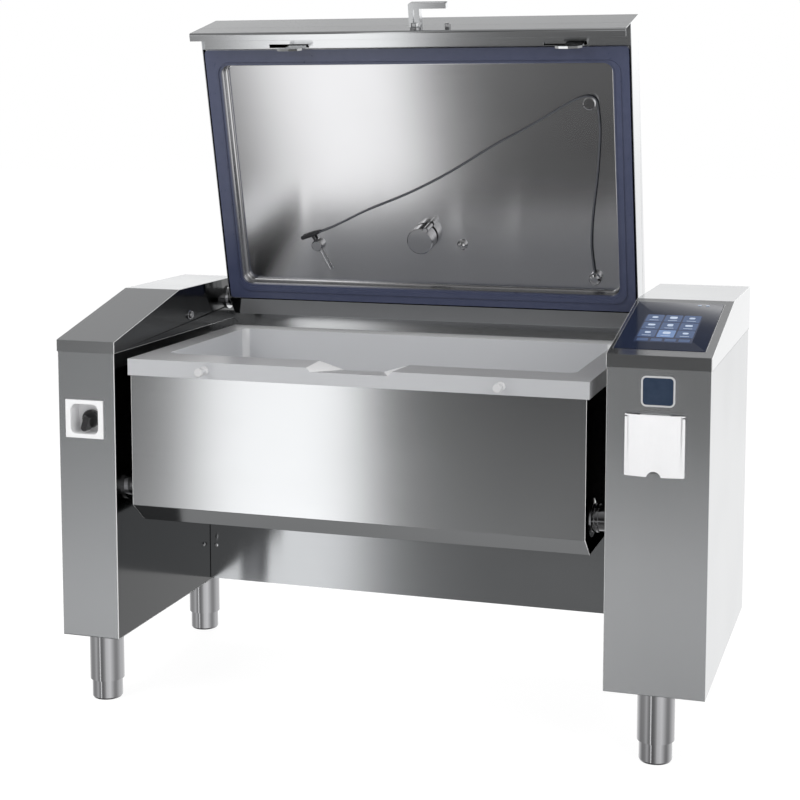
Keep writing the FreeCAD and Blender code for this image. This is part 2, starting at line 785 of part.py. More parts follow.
def build_switch():
    """The isolator: a square frame round a polished cup, its body behind and the turning knob."""
    half = "cup_size / 2"
    left, right = f"switch_x - {half}", f"switch_x + {half}"
    low, high = f"{SWITCH_Z} - {half}", f"{SWITCH_Z} + {half}"
    window = rectangle(left, right, low, high)
    outline = rectangle(
        "switch_x - switch_width / 2",
        "switch_x + switch_width / 2",
        f"{SWITCH_Z} - switch_height / 2",
        f"{SWITCH_Z} + switch_height / 2",
    )
    frame = prism("SwitchFrame", "XZ", [outline, window], "hood_step - 4", "4")
    round_edges(frame, "cup_corner", lambda edge: along(edge, Y_AXIS) and inside_cup(edge))
    node("switch_frame", frame)

    cup = new_body("SwitchCup")
    wall = "1.5"
    grown = rectangle(
        f"{left} - {wall}", f"{right} + {wall}", f"{low} - {wall}", f"{high} + {wall}"
    )
    pad(cup, "XZ", [grown], "hood_step", f"cup_depth + {wall}")
    pocket(cup, "XZ", [window], "hood_step", "cup_depth")
    round_edges(cup, "cup_corner", lambda edge: along(edge, Y_AXIS) and inside_cup(edge))
    outer_end = f"hood_step + cup_depth + {wall}"
    round_edges(cup, f"cup_corner + {wall}", lambda edge: along(edge, Y_AXIS) and near(edge.BoundBox.YMax, outer_end))
    at = ("switch_x", "cup_depth - 5", f"{SWITCH_Z} - knob_drop")
    spindle_hole = rod("SpindleHole", "5.05", "20", at, Y_AXIS)
    node("switch_cup", cut("SwitchCupBored", cup, spindle_hole))

    back = f"(hood_step + cup_depth + {wall})"
    body = block("SwitchBody", ("switch_x - 30", back, f"{SWITCH_Z} - 38"), ("60", "55", "60"))
    bore = rod("SwitchBore", "5.05", "30", ("switch_x", f"{back} - 5", f"{SWITCH_Z} - knob_drop"), Y_AXIS)
    node("switch_body", cut("SwitchBodyBored", body, bore))

    knob = new_body("SwitchKnob")
    floor = "(hood_step + cup_depth)"
    sides = 8
    corner = math.pi / sides
    angles = [corner * (1 + 2 * i) for i in range(sides)]
    octagon = [(f"21 * {math.cos(angle):.5f}", f"21 * {math.sin(angle):.5f}") for angle in angles]
    pad(knob, "XZ", [octagon], f"{floor} - 14", "13.7")
    pad(knob, "XZ", [rectangle("-13", "knob_grip", "-11", "11")], f"{floor} - 37", "23.5")
    round_edges(knob, "4", lambda edge: near(edge.BoundBox.YMin, f"{floor} - 37") and edge.BoundBox.YLength < 0.01)
    pad(knob, "XZ", [("circle", "0", "0", "5")], f"{floor} - 1", "22")
    tilt = FreeCAD.Placement(point("switch_x", "0", f"{SWITCH_Z} - knob_drop"), FreeCAD.Rotation(Y_AXIS, 122))
    node("switch_knob", knob, local=tilt)


def inside_cup(edge):
    """Whether an edge lies on the corner of the switch cup's window."""
    spot = edge.CenterOfMass
    half = number("cup_size / 2")
    across, up = abs(spot.x - number("switch_x")), abs(spot.z - number(SWITCH_Z))
    return abs(across - half) < 0.1 and abs(up - half) < 0.1


def trapezoid(body, y, floor, top, drop, lift):
    """A section of the pouring spout across the rim at a distance y from its front."""
    corners = [
        (f"{MID} - {top} / 2", f"rim_height + {lift}"),
        (f"{MID} - {floor} / 2", f"rim_height - {drop}"),
        (f"{MID} + {floor} / 2", f"rim_height - {drop}"),
        (f"{MID} + {top} / 2", f"rim_height + {lift}"),
    ]
    return sketch(body, "XZ", [corners], y)


def spout_loft(body, front, back, wall, drop, lift):
    """The spout's channel between a front and a back section, grown by a wall on its sides and floor."""
    feature = body.newObject("PartDesign::AdditiveLoft", "SpoutLoft")
    lip = (f"(spout_lip_floor + {wall})", f"(spout_lip_top + {wall})", f"(spout_lip_drop + {drop})")
    rear = (f"(spout_floor + {wall})", f"(spout_top + {wall})", f"(spout_drop + {drop})")
    feature.Profile = trapezoid(body, front, *lip, lift)
    feature.Sections = [trapezoid(body, back, *rear, lift)]
    feature.Ruled = True
    doc.recompute()


def build_vessel():
    """The pan's pressed vessel: deep cavity, flat rim with a turned-down skirt, and pouring spout."""
    body = new_body("VesselOuter")
    left, right = PAN_LEFT, f"({PAN_LEFT} + rim_width)"
    outer = rectangle(left, right, "0", "rim_depth")
    skirt_hole = rectangle(
        f"{left} + rim_sheet", f"{right} - rim_sheet", "rim_sheet", "rim_depth - rim_sheet"
    )
    cavity = rectangle(
        f"{left} + cavity_side", f"{right} - cavity_side", "cavity_front", "rim_depth - cavity_back"
    )
    tub = rectangle(
        f"{left} + cavity_side - vessel_wall",
        f"{right} - cavity_side + vessel_wall",
        "cavity_front - vessel_wall",
        "rim_depth - cavity_back + vessel_wall",
    )
    floor = "(rim_height - cavity_drop)"
    pad(body, "XY", [outer], "rim_height - rim_sheet", "rim_sheet")
    pad(body, "XY", [outer, skirt_hole], "rim_height - rim_skirt", "rim_skirt - rim_sheet")
    pad(body, "XY", [tub], f"{floor} - vessel_floor", "cavity_drop + vessel_floor - rim_sheet")
    below = number("rim_height - 100")
    round_edges(body, "cavity_corner + vessel_wall", lambda edge: along(edge, Z_AXIS) and edge.BoundBox.ZMin < below)
    spout_loft(body, "0", "cavity_front - 1", "8", "rim_sheet", "-0.5")

    hole = prism("Cavity", "XY", [cavity], floor, "cavity_drop + 5")
    round_edges(hole, "cavity_corner", lambda edge: along(edge, Z_AXIS))
    round_edges(hole, "cavity_round", lambda edge: near(edge.CenterOfMass.z, floor))
    spout = new_body("Spout")
    spout_loft(spout, "-1", "cavity_front + 1", "0", "0", "0.5")
    node("pan_vessel", cut("PanVessel", body, hole, spout))


def build_pan():
    """The vessel with its jacket, heating plates, insulation, trunnions and latch studs."""
    build_vessel()
    side = [
        ("jacket_front", "rim_height - jacket_seat"),
        ("jacket_front", f"{JACKET_FOOT} + chamfer_rise"),
        ("jacket_front + chamfer_depth", JACKET_FOOT),
        ("rim_depth - jacket_back", JACKET_FOOT),
        ("rim_depth - jacket_back", "rim_height - jacket_seat"),
    ]
    jacket = prism("PanJacket", "YZ", [side], JACKET_LEFT, f"{JACKET_RIGHT} - {JACKET_LEFT}")
    hollow(jacket, "sheet_wall", lambda face: face.CenterOfMass.z)
    node("pan_jacket", jacket)

    floor = "(rim_height - cavity_drop - vessel_floor)"
    columns, rows = 3, 2
    span = "(rim_width - 2 * cavity_side - 60)"
    reach = "(rim_depth - cavity_front - cavity_back - 60)"
    plates = []
    for i in range(columns):
        for j in range(rows):
            plates.append(
                block(
                    "HeatingPlate",
                    (
                        f"{PAN_LEFT} + cavity_side + 30 + {i} * {span} / {columns} + 5",
                        f"cavity_front + 30 + {j} * {reach} / {rows} + 5",
                        f"{floor} - plate_thick",
                    ),
                    (f"{span} / {columns} - 10", f"{reach} / {rows} - 10", "plate_thick"),
                )
            )
    node("heating_plates", group_of("HeatingPlates", plates))
    node(
        "pan_insulation",
        block(
            "PanInsulation",
            (
                f"{JACKET_LEFT} + 12",
                "cavity_front - 20",
                f"{floor} - plate_thick - inner_clearance - insulation_thick",
            ),
            (f"{JACKET_RIGHT} - {JACKET_LEFT} - 24", "rim_depth - cavity_front - 10", "insulation_thick"),
        ),
    )

    reach_in = "(trunnion_end + side_gap + jacket_side)"
    profile = [
        ("trunnion_radius - trunnion_wall", "0"),
        ("trunnion_radius + 16", "0"),
        ("trunnion_radius + 16", "3"),
        ("trunnion_ring", "5"),
        ("trunnion_ring", "11"),
        ("trunnion_radius", "11"),
        ("trunnion_radius", "15"),
        ("trunnion_ring", "15"),
        ("trunnion_ring", "20"),
        ("trunnion_radius", "20"),
        ("trunnion_radius", reach_in),
        ("trunnion_radius - trunnion_wall", reach_in),
    ]
    node("trunnion_left", turned("TrunnionLeft", profile, (JACKET_LEFT, "tilt_y", TILT_Z), -X_AXIS))
    node("trunnion_right", turned("TrunnionRight", profile, (JACKET_RIGHT, "tilt_y", TILT_Z), X_AXIS))

    stud = [
        ("0", "0"),
        ("stud_neck + 4", "0"),
        ("stud_neck + 4", "3"),
        ("stud_neck", "6"),
        ("stud_neck", "stud_reach"),
        ("stud_head", "stud_reach"),
        ("stud_head", "stud_reach + stud_head_thick - 2"),
        ("stud_head - 2", "stud_reach + stud_head_thick"),
        ("0", "stud_reach + stud_head_thick"),
    ]
    studs = [
        turned("LatchStud", stud, (f"{MID} + {side} * stud_spread", "0", STUD_Z), -Y_AXIS)
        for side in (-1, 1)
    ]
    node("latch_studs", group_of("LatchStuds", studs))


def tray_loops():
    """The outlines of the lid tray: its flange and its raised tub, as expressions."""
    half = f"{SEAL_WIDTH} / 2"
    flange = rectangle(f"{MID} - {half}", f"{MID} + {half}", "seal_front", SEAL_REAR)
    tub = rectangle(
        f"{MID} - {half} + seal_band",
        f"{MID} + {half} - seal_band",
        "seal_front + seal_band",
        f"{SEAL_REAR} - seal_band",
    )
    return flange, tub


def grown_tub(margin):
    half = f"{SEAL_WIDTH} / 2"
    return rectangle(
        f"{MID} - {half} + seal_band - {margin}",
        f"{MID} + {half} - seal_band + {margin}",
        f"seal_front + seal_band - {margin}",
        f"{SEAL_REAR} - seal_band + {margin}",
    )


def build_lid():
    """The lid's folded shell, front apron, pressed tray, seal, insulation and hinge shafts."""
    side = [
        ("-lid_reach", SHELL_Z),
        (f"{SEAL_REAR} + 3", SHELL_Z),
        (LID_BACK, f"{SEAL_Z} + lid_heel"),
        (LID_BACK, LID_TOP),
        ("-lid_reach", LID_TOP),
    ]
    shell = prism("LidOuter", "YZ", [side], LID_LEFT, LID_WIDTH)
    round_edges(shell, "6", lambda edge: near(edge.CenterOfMass.z, LID_TOP))
    inside = [
        ("-lid_reach + lid_sheet", f"{SHELL_Z} - 1"),
        (f"{SEAL_REAR} + 1", f"{SHELL_Z} - 1"),
        (f"{LID_BACK} - lid_sheet", f"{SEAL_Z} + lid_heel + 1.3"),
        (f"{LID_BACK} - lid_sheet", f"{LID_TOP} - lid_sheet"),
        ("-lid_reach + lid_sheet", f"{LID_TOP} - lid_sheet"),
    ]
    room = prism("LidRoom", "YZ", [inside], f"{LID_LEFT} + lid_sheet", f"{LID_WIDTH} - 2 * lid_sheet")
    round_edges(room, "6 - lid_sheet", lambda edge: near(edge.CenterOfMass.z, f"{LID_TOP} - lid_sheet"))
    holes = [
        rod("ShaftHole", "shaft_radius", "10", (x, HINGE_Y, HINGE_Z), X_AXIS)
        for x in (f"{LID_LEFT} - 5", f"{LID_LEFT} + {LID_WIDTH} - 5")
    ]
    node("lid_shell", cut("LidShell", shell, room, *holes), "lid")

    back = "(-lid_reach + lid_sheet)"
    fold = [
        ("-lid_reach", APRON_Z),
        ("-lid_reach + apron_lip", APRON_Z),
        ("-lid_reach + apron_lip", f"{APRON_Z} + lid_sheet"),
        (back, f"{APRON_Z} + lid_sheet"),
        (back, SHELL_Z),
        ("-lid_reach", SHELL_Z),
    ]
    apron = prism("LidApron", "YZ", [fold], LID_LEFT, LID_WIDTH)

    def outer_bend(edge):
        box = edge.BoundBox
        return along(edge, X_AXIS) and near(box.YMin, "-lid_reach") and near(box.ZMin, APRON_Z)

    round_edges(apron, "6", outer_bend)
    at = (f"{MID} + spindle_offset", "-lid_reach - 10", SPINDLE_Z)
    hole = rod("SpindleHole", "spindle_radius + 4", "20", at, Y_AXIS)
    node("lid_apron", cut("LidApronBored", apron, hole), "lid")

    flange, tub = tray_loops()
    tray = new_body("LidTray")
    pad(tray, "XY", [flange], TRAY_Z, "lid_sheet")
    pad(tray, "XY", [grown_tub("lid_sheet")], f"{TRAY_Z} + lid_sheet", f"{PANEL_Z} - {TRAY_Z}")
    pocket(tray, "XY", [tub], TRAY_Z, f"{PANEL_Z} - {TRAY_Z}")
    for radius, top in (("seal_corner", PANEL_Z), ("seal_corner + lid_sheet", f"{PANEL_Z} + lid_sheet")):
        round_edges(tray, radius, lambda edge: along(edge, Z_AXIS) and near(edge.BoundBox.ZMax, top))
    round_edges(tray, "8", lambda edge: near(edge.BoundBox.ZMin, PANEL_Z) and edge.BoundBox.ZLength < 0.01)
    node("lid_tray", tray, "lid")

    seal = new_body("LidSeal")
    pad(seal, "XY", [flange, tub], f"{SEAL_Z} + seal_groove", "seal_depth - seal_groove")
    rim = number(f"{SEAL_WIDTH} / 2 - 5")

    def off_middle(edge):
        return abs(edge.CenterOfMass.x - number(MID))

    round_edges(seal, "seal_corner", lambda edge: along(edge, Z_AXIS) and off_middle(edge) < rim)
    round_edges(seal, "10", lambda edge: along(edge, Z_AXIS) and off_middle(edge) > rim)
    outer_bead = grown_tub("seal_bead + 6")
    inner_bead = grown_tub("6")
    pad(seal, "XY", [outer_bead, inner_bead], SEAL_Z, "seal_groove")
    round_edges(seal, "seal_corner + 6", lambda edge: along(edge, Z_AXIS) and near(edge.BoundBox.ZMin, SEAL_Z))
    node("lid_seal", seal, "lid")

    insulation = block(
        "LidInsulation",
        (f"{MID} - {SEAL_WIDTH} / 2 + seal_band + 6", "12", f"{PANEL_Z} + lid_sheet + inner_clearance"),
        (f"{SEAL_WIDTH} - 2 * seal_band - 12", f"{SEAL_REAR} - seal_band - 22", "insulation_thick"),
    )
    node("lid_insulation", insulation, "lid")

    long_shaft = "(shaft_inside + side_gap + hood_step + trunnion_end)"
    left_shaft = ring_profile("bar_radius + bush_clearance", "shaft_radius", "0", long_shaft)
    right_shaft = ring_profile("shaft_radius - 6", "shaft_radius", "0", long_shaft)
    at = (f"{LID_LEFT} + shaft_inside", HINGE_Y, HINGE_Z)
    node("lid_shaft_left", turned("LidShaftLeft", left_shaft, at, -X_AXIS), "lid")
    at = (f"{LID_LEFT} + {LID_WIDTH} - shaft_inside", HINGE_Y, HINGE_Z)
    node("lid_shaft_right", turned("LidShaftRight", right_shaft, at, X_AXIS), "lid")


HOOK_LEFT = "(lock_travel - 12)"


def build_lock():
    """The lid lock: slotted strip, sliding bar with two hooks, crank, spindle and outer lever."""
    front = "(-lid_reach + lid_sheet)"
    strip = new_body("HookStrip")
    ends = (f"{LID_LEFT} + lid_sheet", f"{LID_LEFT} + {LID_WIDTH} - lid_sheet")
    slots = [rectangle(*ends, front, "seal_front - inner_clearance")]
    play = "1.5"
    for side in (-1, 1):
        stud = f"({MID} + {side} * stud_spread)"
        slots.append(
            rectangle(
                f"{stud} + {HOOK_LEFT} - lock_travel - 4",
                f"{stud} + {HOOK_LEFT} + hook_width + 4",
                f"bar_front - {play}",
                f"bar_front + bar_thick + {play}",
            )
        )
    link_mid = f"({MID} + spindle_offset)"
    slots.append(rectangle(f"{link_mid} - 44", f"{link_mid} + 44", "link_front - 2", "link_front + 7.5"))
    pad(strip, "XY", slots, TRAY_Z, "lid_sheet")
    node("hook_strip", strip, "lid")

    bar = new_body("LockBar")
    left = f"({MID} - stud_spread + {HOOK_LEFT})"
    right = f"({MID} + stud_spread + {HOOK_LEFT})"
    rail = rectangle(f"{left} + hook_width - hook_shank", f"{right} + hook_width", BAR_LOW, BAR_HIGH)
    pad(bar, "XZ", [rail], "bar_front", "bar_thick")
    mouth = f"({STUD_Z} - stud_neck - hook_play)"
    for tip in (left, right):
        shank = f"({tip} + hook_width - hook_shank)"
        hook = [
            (tip, f"{HOOK_LOW} + 6"),
            (f"{tip} + 10", f"{HOOK_LOW} + 1.5"),
            (f"{tip} + hook_width / 2", HOOK_LOW),
            (f"{tip} + hook_width - 10", f"{HOOK_LOW} + 3"),
            (f"{tip} + hook_width", f"{HOOK_LOW} + 12"),
            (f"{tip} + hook_width", f"{BAR_LOW} + 1"),
            (shank, f"{BAR_LOW} + 1"),
            (shank, f"{mouth} + 5"),
            (f"{shank} - 4", mouth),
            (f"{tip} + 3", mouth),
        ]
        pad(bar, "XZ", [hook], "bar_front", "bar_thick")
    node("lock_bar", bar, "lid")

    pin_x = f"({link_mid} + lock_travel / 2)"
    link = new_body("LockLink")
    leg = rectangle(f"{pin_x} - 17", f"{pin_x} + 17", f"{SPINDLE_Z} + 4", f"{BAR_LOW} + 19")
    slot = rectangle(
        f"{pin_x} - crank_pin - pin_play",
        f"{pin_x} + crank_pin + pin_play",
        f"{SPINDLE_Z} + crank_radius * 0.7071 - crank_pin - 1.5",
        f"{SPINDLE_Z} + crank_radius + crank_pin + 1.5",
    )
    pad(link, "XZ", [leg, slot], "link_front", "6")
    arm = rectangle(f"{pin_x} - 17", f"{pin_x} + 17", "link_front + 5", "bar_front")
    pad(link, "XY", [arm], f"{BAR_LOW} + 13", "6")
    node("lock_link", link, "lid")

    guides = []
    for side in (-1, 1):
        mid = f"({MID} + {side} * 220)"
        guide = block("GuideBlock", (f"{mid} - 16", "bar_front - 8", f"{TRAY_Z} + lid_sheet"), ("32", "18", "40"))
        way = block(
            "GuideWay",
            (f"{mid} - 20", "bar_front - inner_clearance", f"{BAR_LOW} - inner_clearance"),
            ("40", "bar_thick + 2 * inner_clearance", f"{BAR_HIGH} - {BAR_LOW} + 2 * inner_clearance"),
        )
        guides.append(cut("BarGuide", guide, way))
    node("bar_guides", group_of("BarGuides", guides), "lid")

    bush = [
        ("spindle_radius + bush_clearance", "-3"),
        ("spindle_radius + 9", "-3"),
        ("spindle_radius + 9", "0"),
        ("spindle_radius + 4", "0"),
        ("spindle_radius + 4", "4"),
        ("spindle_radius + bush_clearance", "4"),
    ]
    node("lever_bush", turned("LeverBush", bush, (link_mid, "-lid_reach", SPINDLE_Z), Y_AXIS), "lid")

    disc = [
        ("spindle_radius", "4.3"), ("crank_disc", "4.3"), ("crank_disc", "9"), ("spindle_radius", "9"),
    ]
    plate = turned("CrankDisc", disc, (link_mid, "-lid_reach", SPINDLE_Z), Y_AXIS)
    pin_at = (f"{link_mid} + crank_radius * 0.7071", "-lid_reach + 6", f"{SPINDLE_Z} + crank_radius * 0.7071")
    node("lock_crank", joined("LockCrank", plate, rod("CrankPin", "crank_pin", "11", pin_at, Y_AXIS)), "lid")

    lever = new_body("LockLever")
    left = "(-15)"
    foot = "(-lid_reach - 3.3)"
    rise = "(-lid_reach - lever_rise)"
    bent = [
        (left, foot),
        (left, rise),
        (f"{left} + lever_reach", rise),
        (f"{left} + lever_reach", f"{rise} + 15"),
        (f"{left} + 29", f"{rise} + 15"),
        (f"{left} + 29", foot),
        (f"{left} + 15", foot),
        (f"{left} + 15", f"{rise} + 17"),
        (f"{left} + 11", f"{rise} + 17"),
        (f"{left} + 11", foot),
    ]
    pad(lever, "XY", [bent], "-lever_width / 2", "lever_width")
    round_edges(lever, "5", lambda edge: along(edge, Z_AXIS) and near(edge.CenterOfMass.y, rise))
    pad(lever, "XZ", [("circle", "0", "0", "15")], f"{foot} - 12", "12")
    pad(lever, "XZ", [("circle", "0", "0", "spindle_radius")], f"{foot} - 6", "18.3")
    at = FreeCAD.Placement(point(link_mid, "0", SPINDLE_Z), FreeCAD.Rotation())
    node("lock_lever", lever, "lid", local=at)

    stop = new_body("LeverStop")
    face = rectangle(f"{link_mid} + 78", f"{link_mid} + 90", f"{SPINDLE_Z} - 8", f"{SPINDLE_Z} + 8")
    pad(stop, "XZ", [face], "-lid_reach - 13", "13")
    round_edges(stop, "3", lambda edge: near(edge.BoundBox.YMax, "-lid_reach - 13"))
    node("lever_stop", stop, "lid")


def across_lid(x, y):
    """A place on the lid's panel. It keeps its share of the lid when the pan's sizes change."""
    return f"{MID} + ({x}) * {ACROSS}", f"({y}) * {ALONG}"


def build_fittings():
    """What stands on the lid's inner panel: vent cap, nozzle, knobs, gland, probe and its cable."""
    vent = [
        ("0", "0"), ("vent_radius - 8", "0"), ("vent_radius - 8", "-6"), ("vent_radius", "-6"),
        ("vent_radius", "3 - vent_height"), ("vent_radius - 3", "-vent_height"), ("0", "-vent_height"),
    ]
    drum = turned("VentDrum", vent, (*across_lid("0", "vent_y"), PANEL_Z))
    screw = [
        ("0", "-5"), ("8", "-5"), ("8", "-vent_height - 2"), ("6", "-vent_height - 5"), ("0", "-vent_height - 5"),
    ]
    middle, height = across_lid("0", "vent_y")
    clip = turned("VentScrew", screw, (f"{middle} + 19", f"{height} - 33", PANEL_Z))
    node("vent_cap", joined("VentCap", drum, clip), "lid")

    nozzle = [
        ("0", "0"), ("14", "0"), ("14", "-4"), ("10", "-8"), ("10", "-14"), ("5", "-16"), ("4", "-22"), ("0", "-22"),
    ]
    at = (*across_lid("nozzle_x", "nozzle_y"), PANEL_Z)
    node("spray_nozzle", turned("SprayNozzle", nozzle, at), "lid")
    gland = [
        ("0", "0"), ("knob_radius", "0"), ("knob_radius", "-15"), ("knob_radius - 3", "-19"), ("8", "-21"), ("0", "-21"),
    ]
    at = (*across_lid("gland_x", "gland_y"), PANEL_Z)
    node("cable_gland", turned("CableGland", gland, at), "lid")
    knob = [
        ("0", "0"), ("knob_stem", "0"), ("knob_stem", "-14"), ("knob_radius - 1", "-14"),
        ("knob_radius", "-16"), ("knob_radius", "-20"), ("knob_radius - 3", "-22"), ("0", "-22"),
    ]
    at = (*across_lid("knob_x", "knob_y"), PANEL_Z)
    node("cable_knob", turned("CableKnob", knob, at), "lid")

    holder = [
        ("0", "0"), ("holder_radius", "0"), ("holder_radius", "-14"), ("holder_radius - 3", "-18"), ("0", "-18"),
    ]
    knob = turned("HolderKnob", holder, (*across_lid("holder_x", "holder_y"), PANEL_Z))
    start, end = (in_cord_plane(*spot) for spot in NEEDLE)
    way = (end - start).normalize()
    hole = doc.addObject("Part::Cylinder", "NeedleHole")
    hole.setExpression("Radius", bound("needle_radius + 0.3"))
    hole.Height = (end - start).Length
    hole.Placement = FreeCAD.Placement(start, FreeCAD.Rotation(Z_AXIS, way))
    node("probe_holder", cut("ProbeHolder", knob, hole), "lid")
    build_probe(start, end)


# The probe's needle and the cable's route on the open lid: from the pan's middle, and the closed
# lid's Y. The cable lies in one plane, cord_depth off the panel.
NEEDLE = ((-323, 502), (-277.5, 603))
GRIP = ((-355, 514), (-300, 495))
ROUTE = (
    (-300, 495), (-272, 485.3), (-222, 461.5), (-166, 433), (-108, 410), (-48, 386), (12, 358),
    (68, 329), (120, 299), (170, 268), (221, 238), (273, 211.5), (325, 183), (373, 154),
    (416, 129), (444, 116.5), (467, 112.3), (484.5, 121), (488.5, 147), (491.5, 196), (488, 252), (482, 310),
    (474, 368), (465, 426), (459, 484), (457.5, 536), (464, 589),
)


def in_cord_plane(x, y):
    """A point of the probe or its cable, cord_depth off the panel."""
    return point(*across_lid(x, y), f"{PANEL_Z} - cord_depth")


def build_probe(start, end):
    """The core probe: needle through its holder, black grip, and the cable to the gland."""
    needle = doc.addObject("Part::Cylinder", "Needle")
    needle.setExpression("Radius", bound("needle_radius"))
    stub = 18
    way = (end - start).normalize()
    needle.Height = (end - start).Length - stub
    needle.Placement = FreeCAD.Placement(start + way * stub, FreeCAD.Rotation(Z_AXIS, way))
    doc.recompute()
    node("probe_needle", needle, "lid")

    tail, nose = (in_cord_plane(*spot) for spot in GRIP)
    length = (nose - tail).Length
    shape = [
        ("0", "0"), ("4", "0"), ("5.5", "2"), ("6", f"{length / 2:.2f}"), ("4.5", f"{length - 8:.2f}"),
        ("3", f"{length:.2f}"), ("0", f"{length:.2f}"),
    ]
    grip = turned("ProbeGrip", shape)
    grip.Placement = FreeCAD.Placement(tail, FreeCAD.Rotation(Z_AXIS, nose - tail))
    collar = turned("ProbeCollar", [("0", "0"), ("4.5", "0"), ("3.2", str(stub)), ("0", str(stub))])
    collar.Placement = FreeCAD.Placement(start, FreeCAD.Rotation(Z_AXIS, way))
    node("probe_grip", joined("ProbeGripWhole", grip, collar), "lid")

    spots = [in_cord_plane(*spot) for spot in ROUTE]
    tube, path_length = cord_tube(spots, number("cord_width") / 2)
    cable = doc.addObject("Part::Feature", "ProbeCable")
    cable.Shape = tube
    section = math.pi * number("cord_width") ** 2 / 4
    ratio = tube.Volume / (section * path_length)
    print(f"cable length {path_length:.0f} mm, volume over section x length {ratio:.4f}")
    node("probe_cable", cable, "lid")


def cord_tube(spots, radius):
    """A tube along straight runs joined by tangent arcs, each as large as its two runs allow."""
    share = 0.45
    edges, radii = [], []
    here = spots[0]
    for before, corner, after in zip(spots, spots[1:], spots[2:]):
        inward = (corner - before).normalize()
        outward = (after - corner).normalize()
        turn = inward.getAngle(outward)
        trim = share * min((corner - before).Length, (after - corner).Length)
        first = corner - inward * trim
        last = corner + outward * trim
        bend = trim / math.tan(turn / 2)
        radii.append(bend)
        bisector = (outward - inward).normalize()
        centre = corner + bisector * (bend / math.cos(turn / 2))
        middle = centre + (corner - centre).normalize() * bend
        edges.append(Part.LineSegment(here, first).toShape())
        edges.append(Part.Arc(first, middle, last).toShape())
        here = last
    edges.append(Part.LineSegment(here, spots[-1]).toShape())
    path = Part.Wire(edges)
    ring = Part.Wire([Part.makeCircle(radius, spots[0], (spots[1] - spots[0]).normalize())])
    print("cable bend radii", " ".join(f"{r:.0f}" for r in radii))
    return path.makePipeShell([ring], True, False), path.Length


build_columns()
build_legs()
build_bearings()
build_drive()
build_controls()
build_pan()
build_lid()
build_lock()
build_fittings()
doc.recompute()

for thing in doc.Objects:
    if "Invalid" in thing.State or "Error" in thing.State:
        raise ValueError(f"{thing.Name} ({thing.Label}) did not build")
for label, thing in nodes.items():
    if thing.Shape.isNull() or not thing.Shape.isValid() or not thing.Shape.Solids:
        raise ValueError(f"{label} has no valid solid")

os.makedirs("parts", exist_ok=True)
for label, thing in nodes.items():
    thing.Shape.exportStep(f"parts/{label}.step")
print(len(nodes), "nodes written")
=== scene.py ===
import math

import bmesh
import bpy
from mathutils import Matrix, Vector


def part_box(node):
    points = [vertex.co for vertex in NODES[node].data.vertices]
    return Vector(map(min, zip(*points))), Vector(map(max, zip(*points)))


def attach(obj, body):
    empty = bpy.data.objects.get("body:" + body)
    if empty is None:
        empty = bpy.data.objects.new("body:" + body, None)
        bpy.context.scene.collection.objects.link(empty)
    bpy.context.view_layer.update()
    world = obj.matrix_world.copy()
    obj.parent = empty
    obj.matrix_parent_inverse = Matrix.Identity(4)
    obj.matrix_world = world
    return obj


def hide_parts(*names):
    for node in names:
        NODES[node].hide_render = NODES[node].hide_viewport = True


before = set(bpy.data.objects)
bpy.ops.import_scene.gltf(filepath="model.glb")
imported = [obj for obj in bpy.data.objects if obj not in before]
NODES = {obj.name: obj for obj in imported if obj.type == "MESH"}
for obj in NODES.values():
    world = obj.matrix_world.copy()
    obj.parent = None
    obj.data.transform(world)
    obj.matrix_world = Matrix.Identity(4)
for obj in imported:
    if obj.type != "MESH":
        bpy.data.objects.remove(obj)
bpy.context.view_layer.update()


# Small helpers


def collection_link(obj):
    bpy.context.scene.collection.objects.link(obj)
    return obj


def from_bmesh(name, bm, material=None):
    mesh = bpy.data.meshes.new(name)
    bm.to_mesh(mesh)
    bm.free()
    obj = collection_link(bpy.data.objects.new(name, mesh))
    if material:
        mesh.materials.append(material)
    return obj


class Graph:
    """Adds shader nodes to a tree. An input is a plain value, or another node's socket to link."""

    def __init__(self, tree):
        self.tree = tree

    def add(self, kind, inputs=None, **settings):
        made = self.tree.nodes.new("ShaderNode" + kind)
        for key, value in settings.items():
            setattr(made, key, value)
        for key, value in (inputs or {}).items():
            socket = made.inputs[key]
            if isinstance(value, bpy.types.NodeSocket):
                self.tree.links.new(value, socket)
            else:
                socket.default_value = value
        return made

    def math(self, operation, first, second=0.0, clamp=False):
        return self.add("Math", {0: first, 1: second}, operation=operation, use_clamp=clamp).outputs[0]

    def ramp(self, factor, stops):
        made = self.add("ValToRGB", {0: factor})
        elements = made.color_ramp.elements
        while len(elements) < len(stops):
            elements.new(0.5)
        for element, (position, grey) in zip(elements, stops):
            element.position = position
            colour = grey if isinstance(grey, tuple) else (grey, grey, grey)
            element.color = (*colour, 1)
        return made.outputs[0]

    def mix(self, factor, first, second, blend="MIX"):
        made = self.add("Mix", data_type="RGBA", blend_type=blend)
        for index, value in ((0, factor), (6, first), (7, second)):
            if isinstance(value, bpy.types.NodeSocket):
                self.tree.links.new(value, made.inputs[index])
            else:
                made.inputs[index].default_value = value
        return made.outputs[2]


def rgb(r, g, b):
    return (r, g, b, 1)


# Camera, near the photograph's: a stronger shift would push the object out of the other views
FOCAL_PIXELS, PICTURE_PIXELS, SENSOR = 1688.3, 800, 36

camera = bpy.data.objects.new("camera", bpy.data.cameras.new("camera"))
collection_link(camera)
camera.location = (1.2800, -4.1035, 1.5327)
camera.rotation_euler = (math.radians(90) - 0.1065, 0, 0.3081)
camera.data.lens = FOCAL_PIXELS / PICTURE_PIXELS * SENSOR
camera.data.sensor_width = SENSOR
camera.data.shift_y = -0.147
bpy.context.scene.camera = camera


# Texture groups that several materials share. A face counts as a side, as flat or as an edge by how
# much of its normal points across the machine.
SIDE_SHARE, FLAT_SHARE, EDGE_SHARE = 0.7, 0.97, 0.15


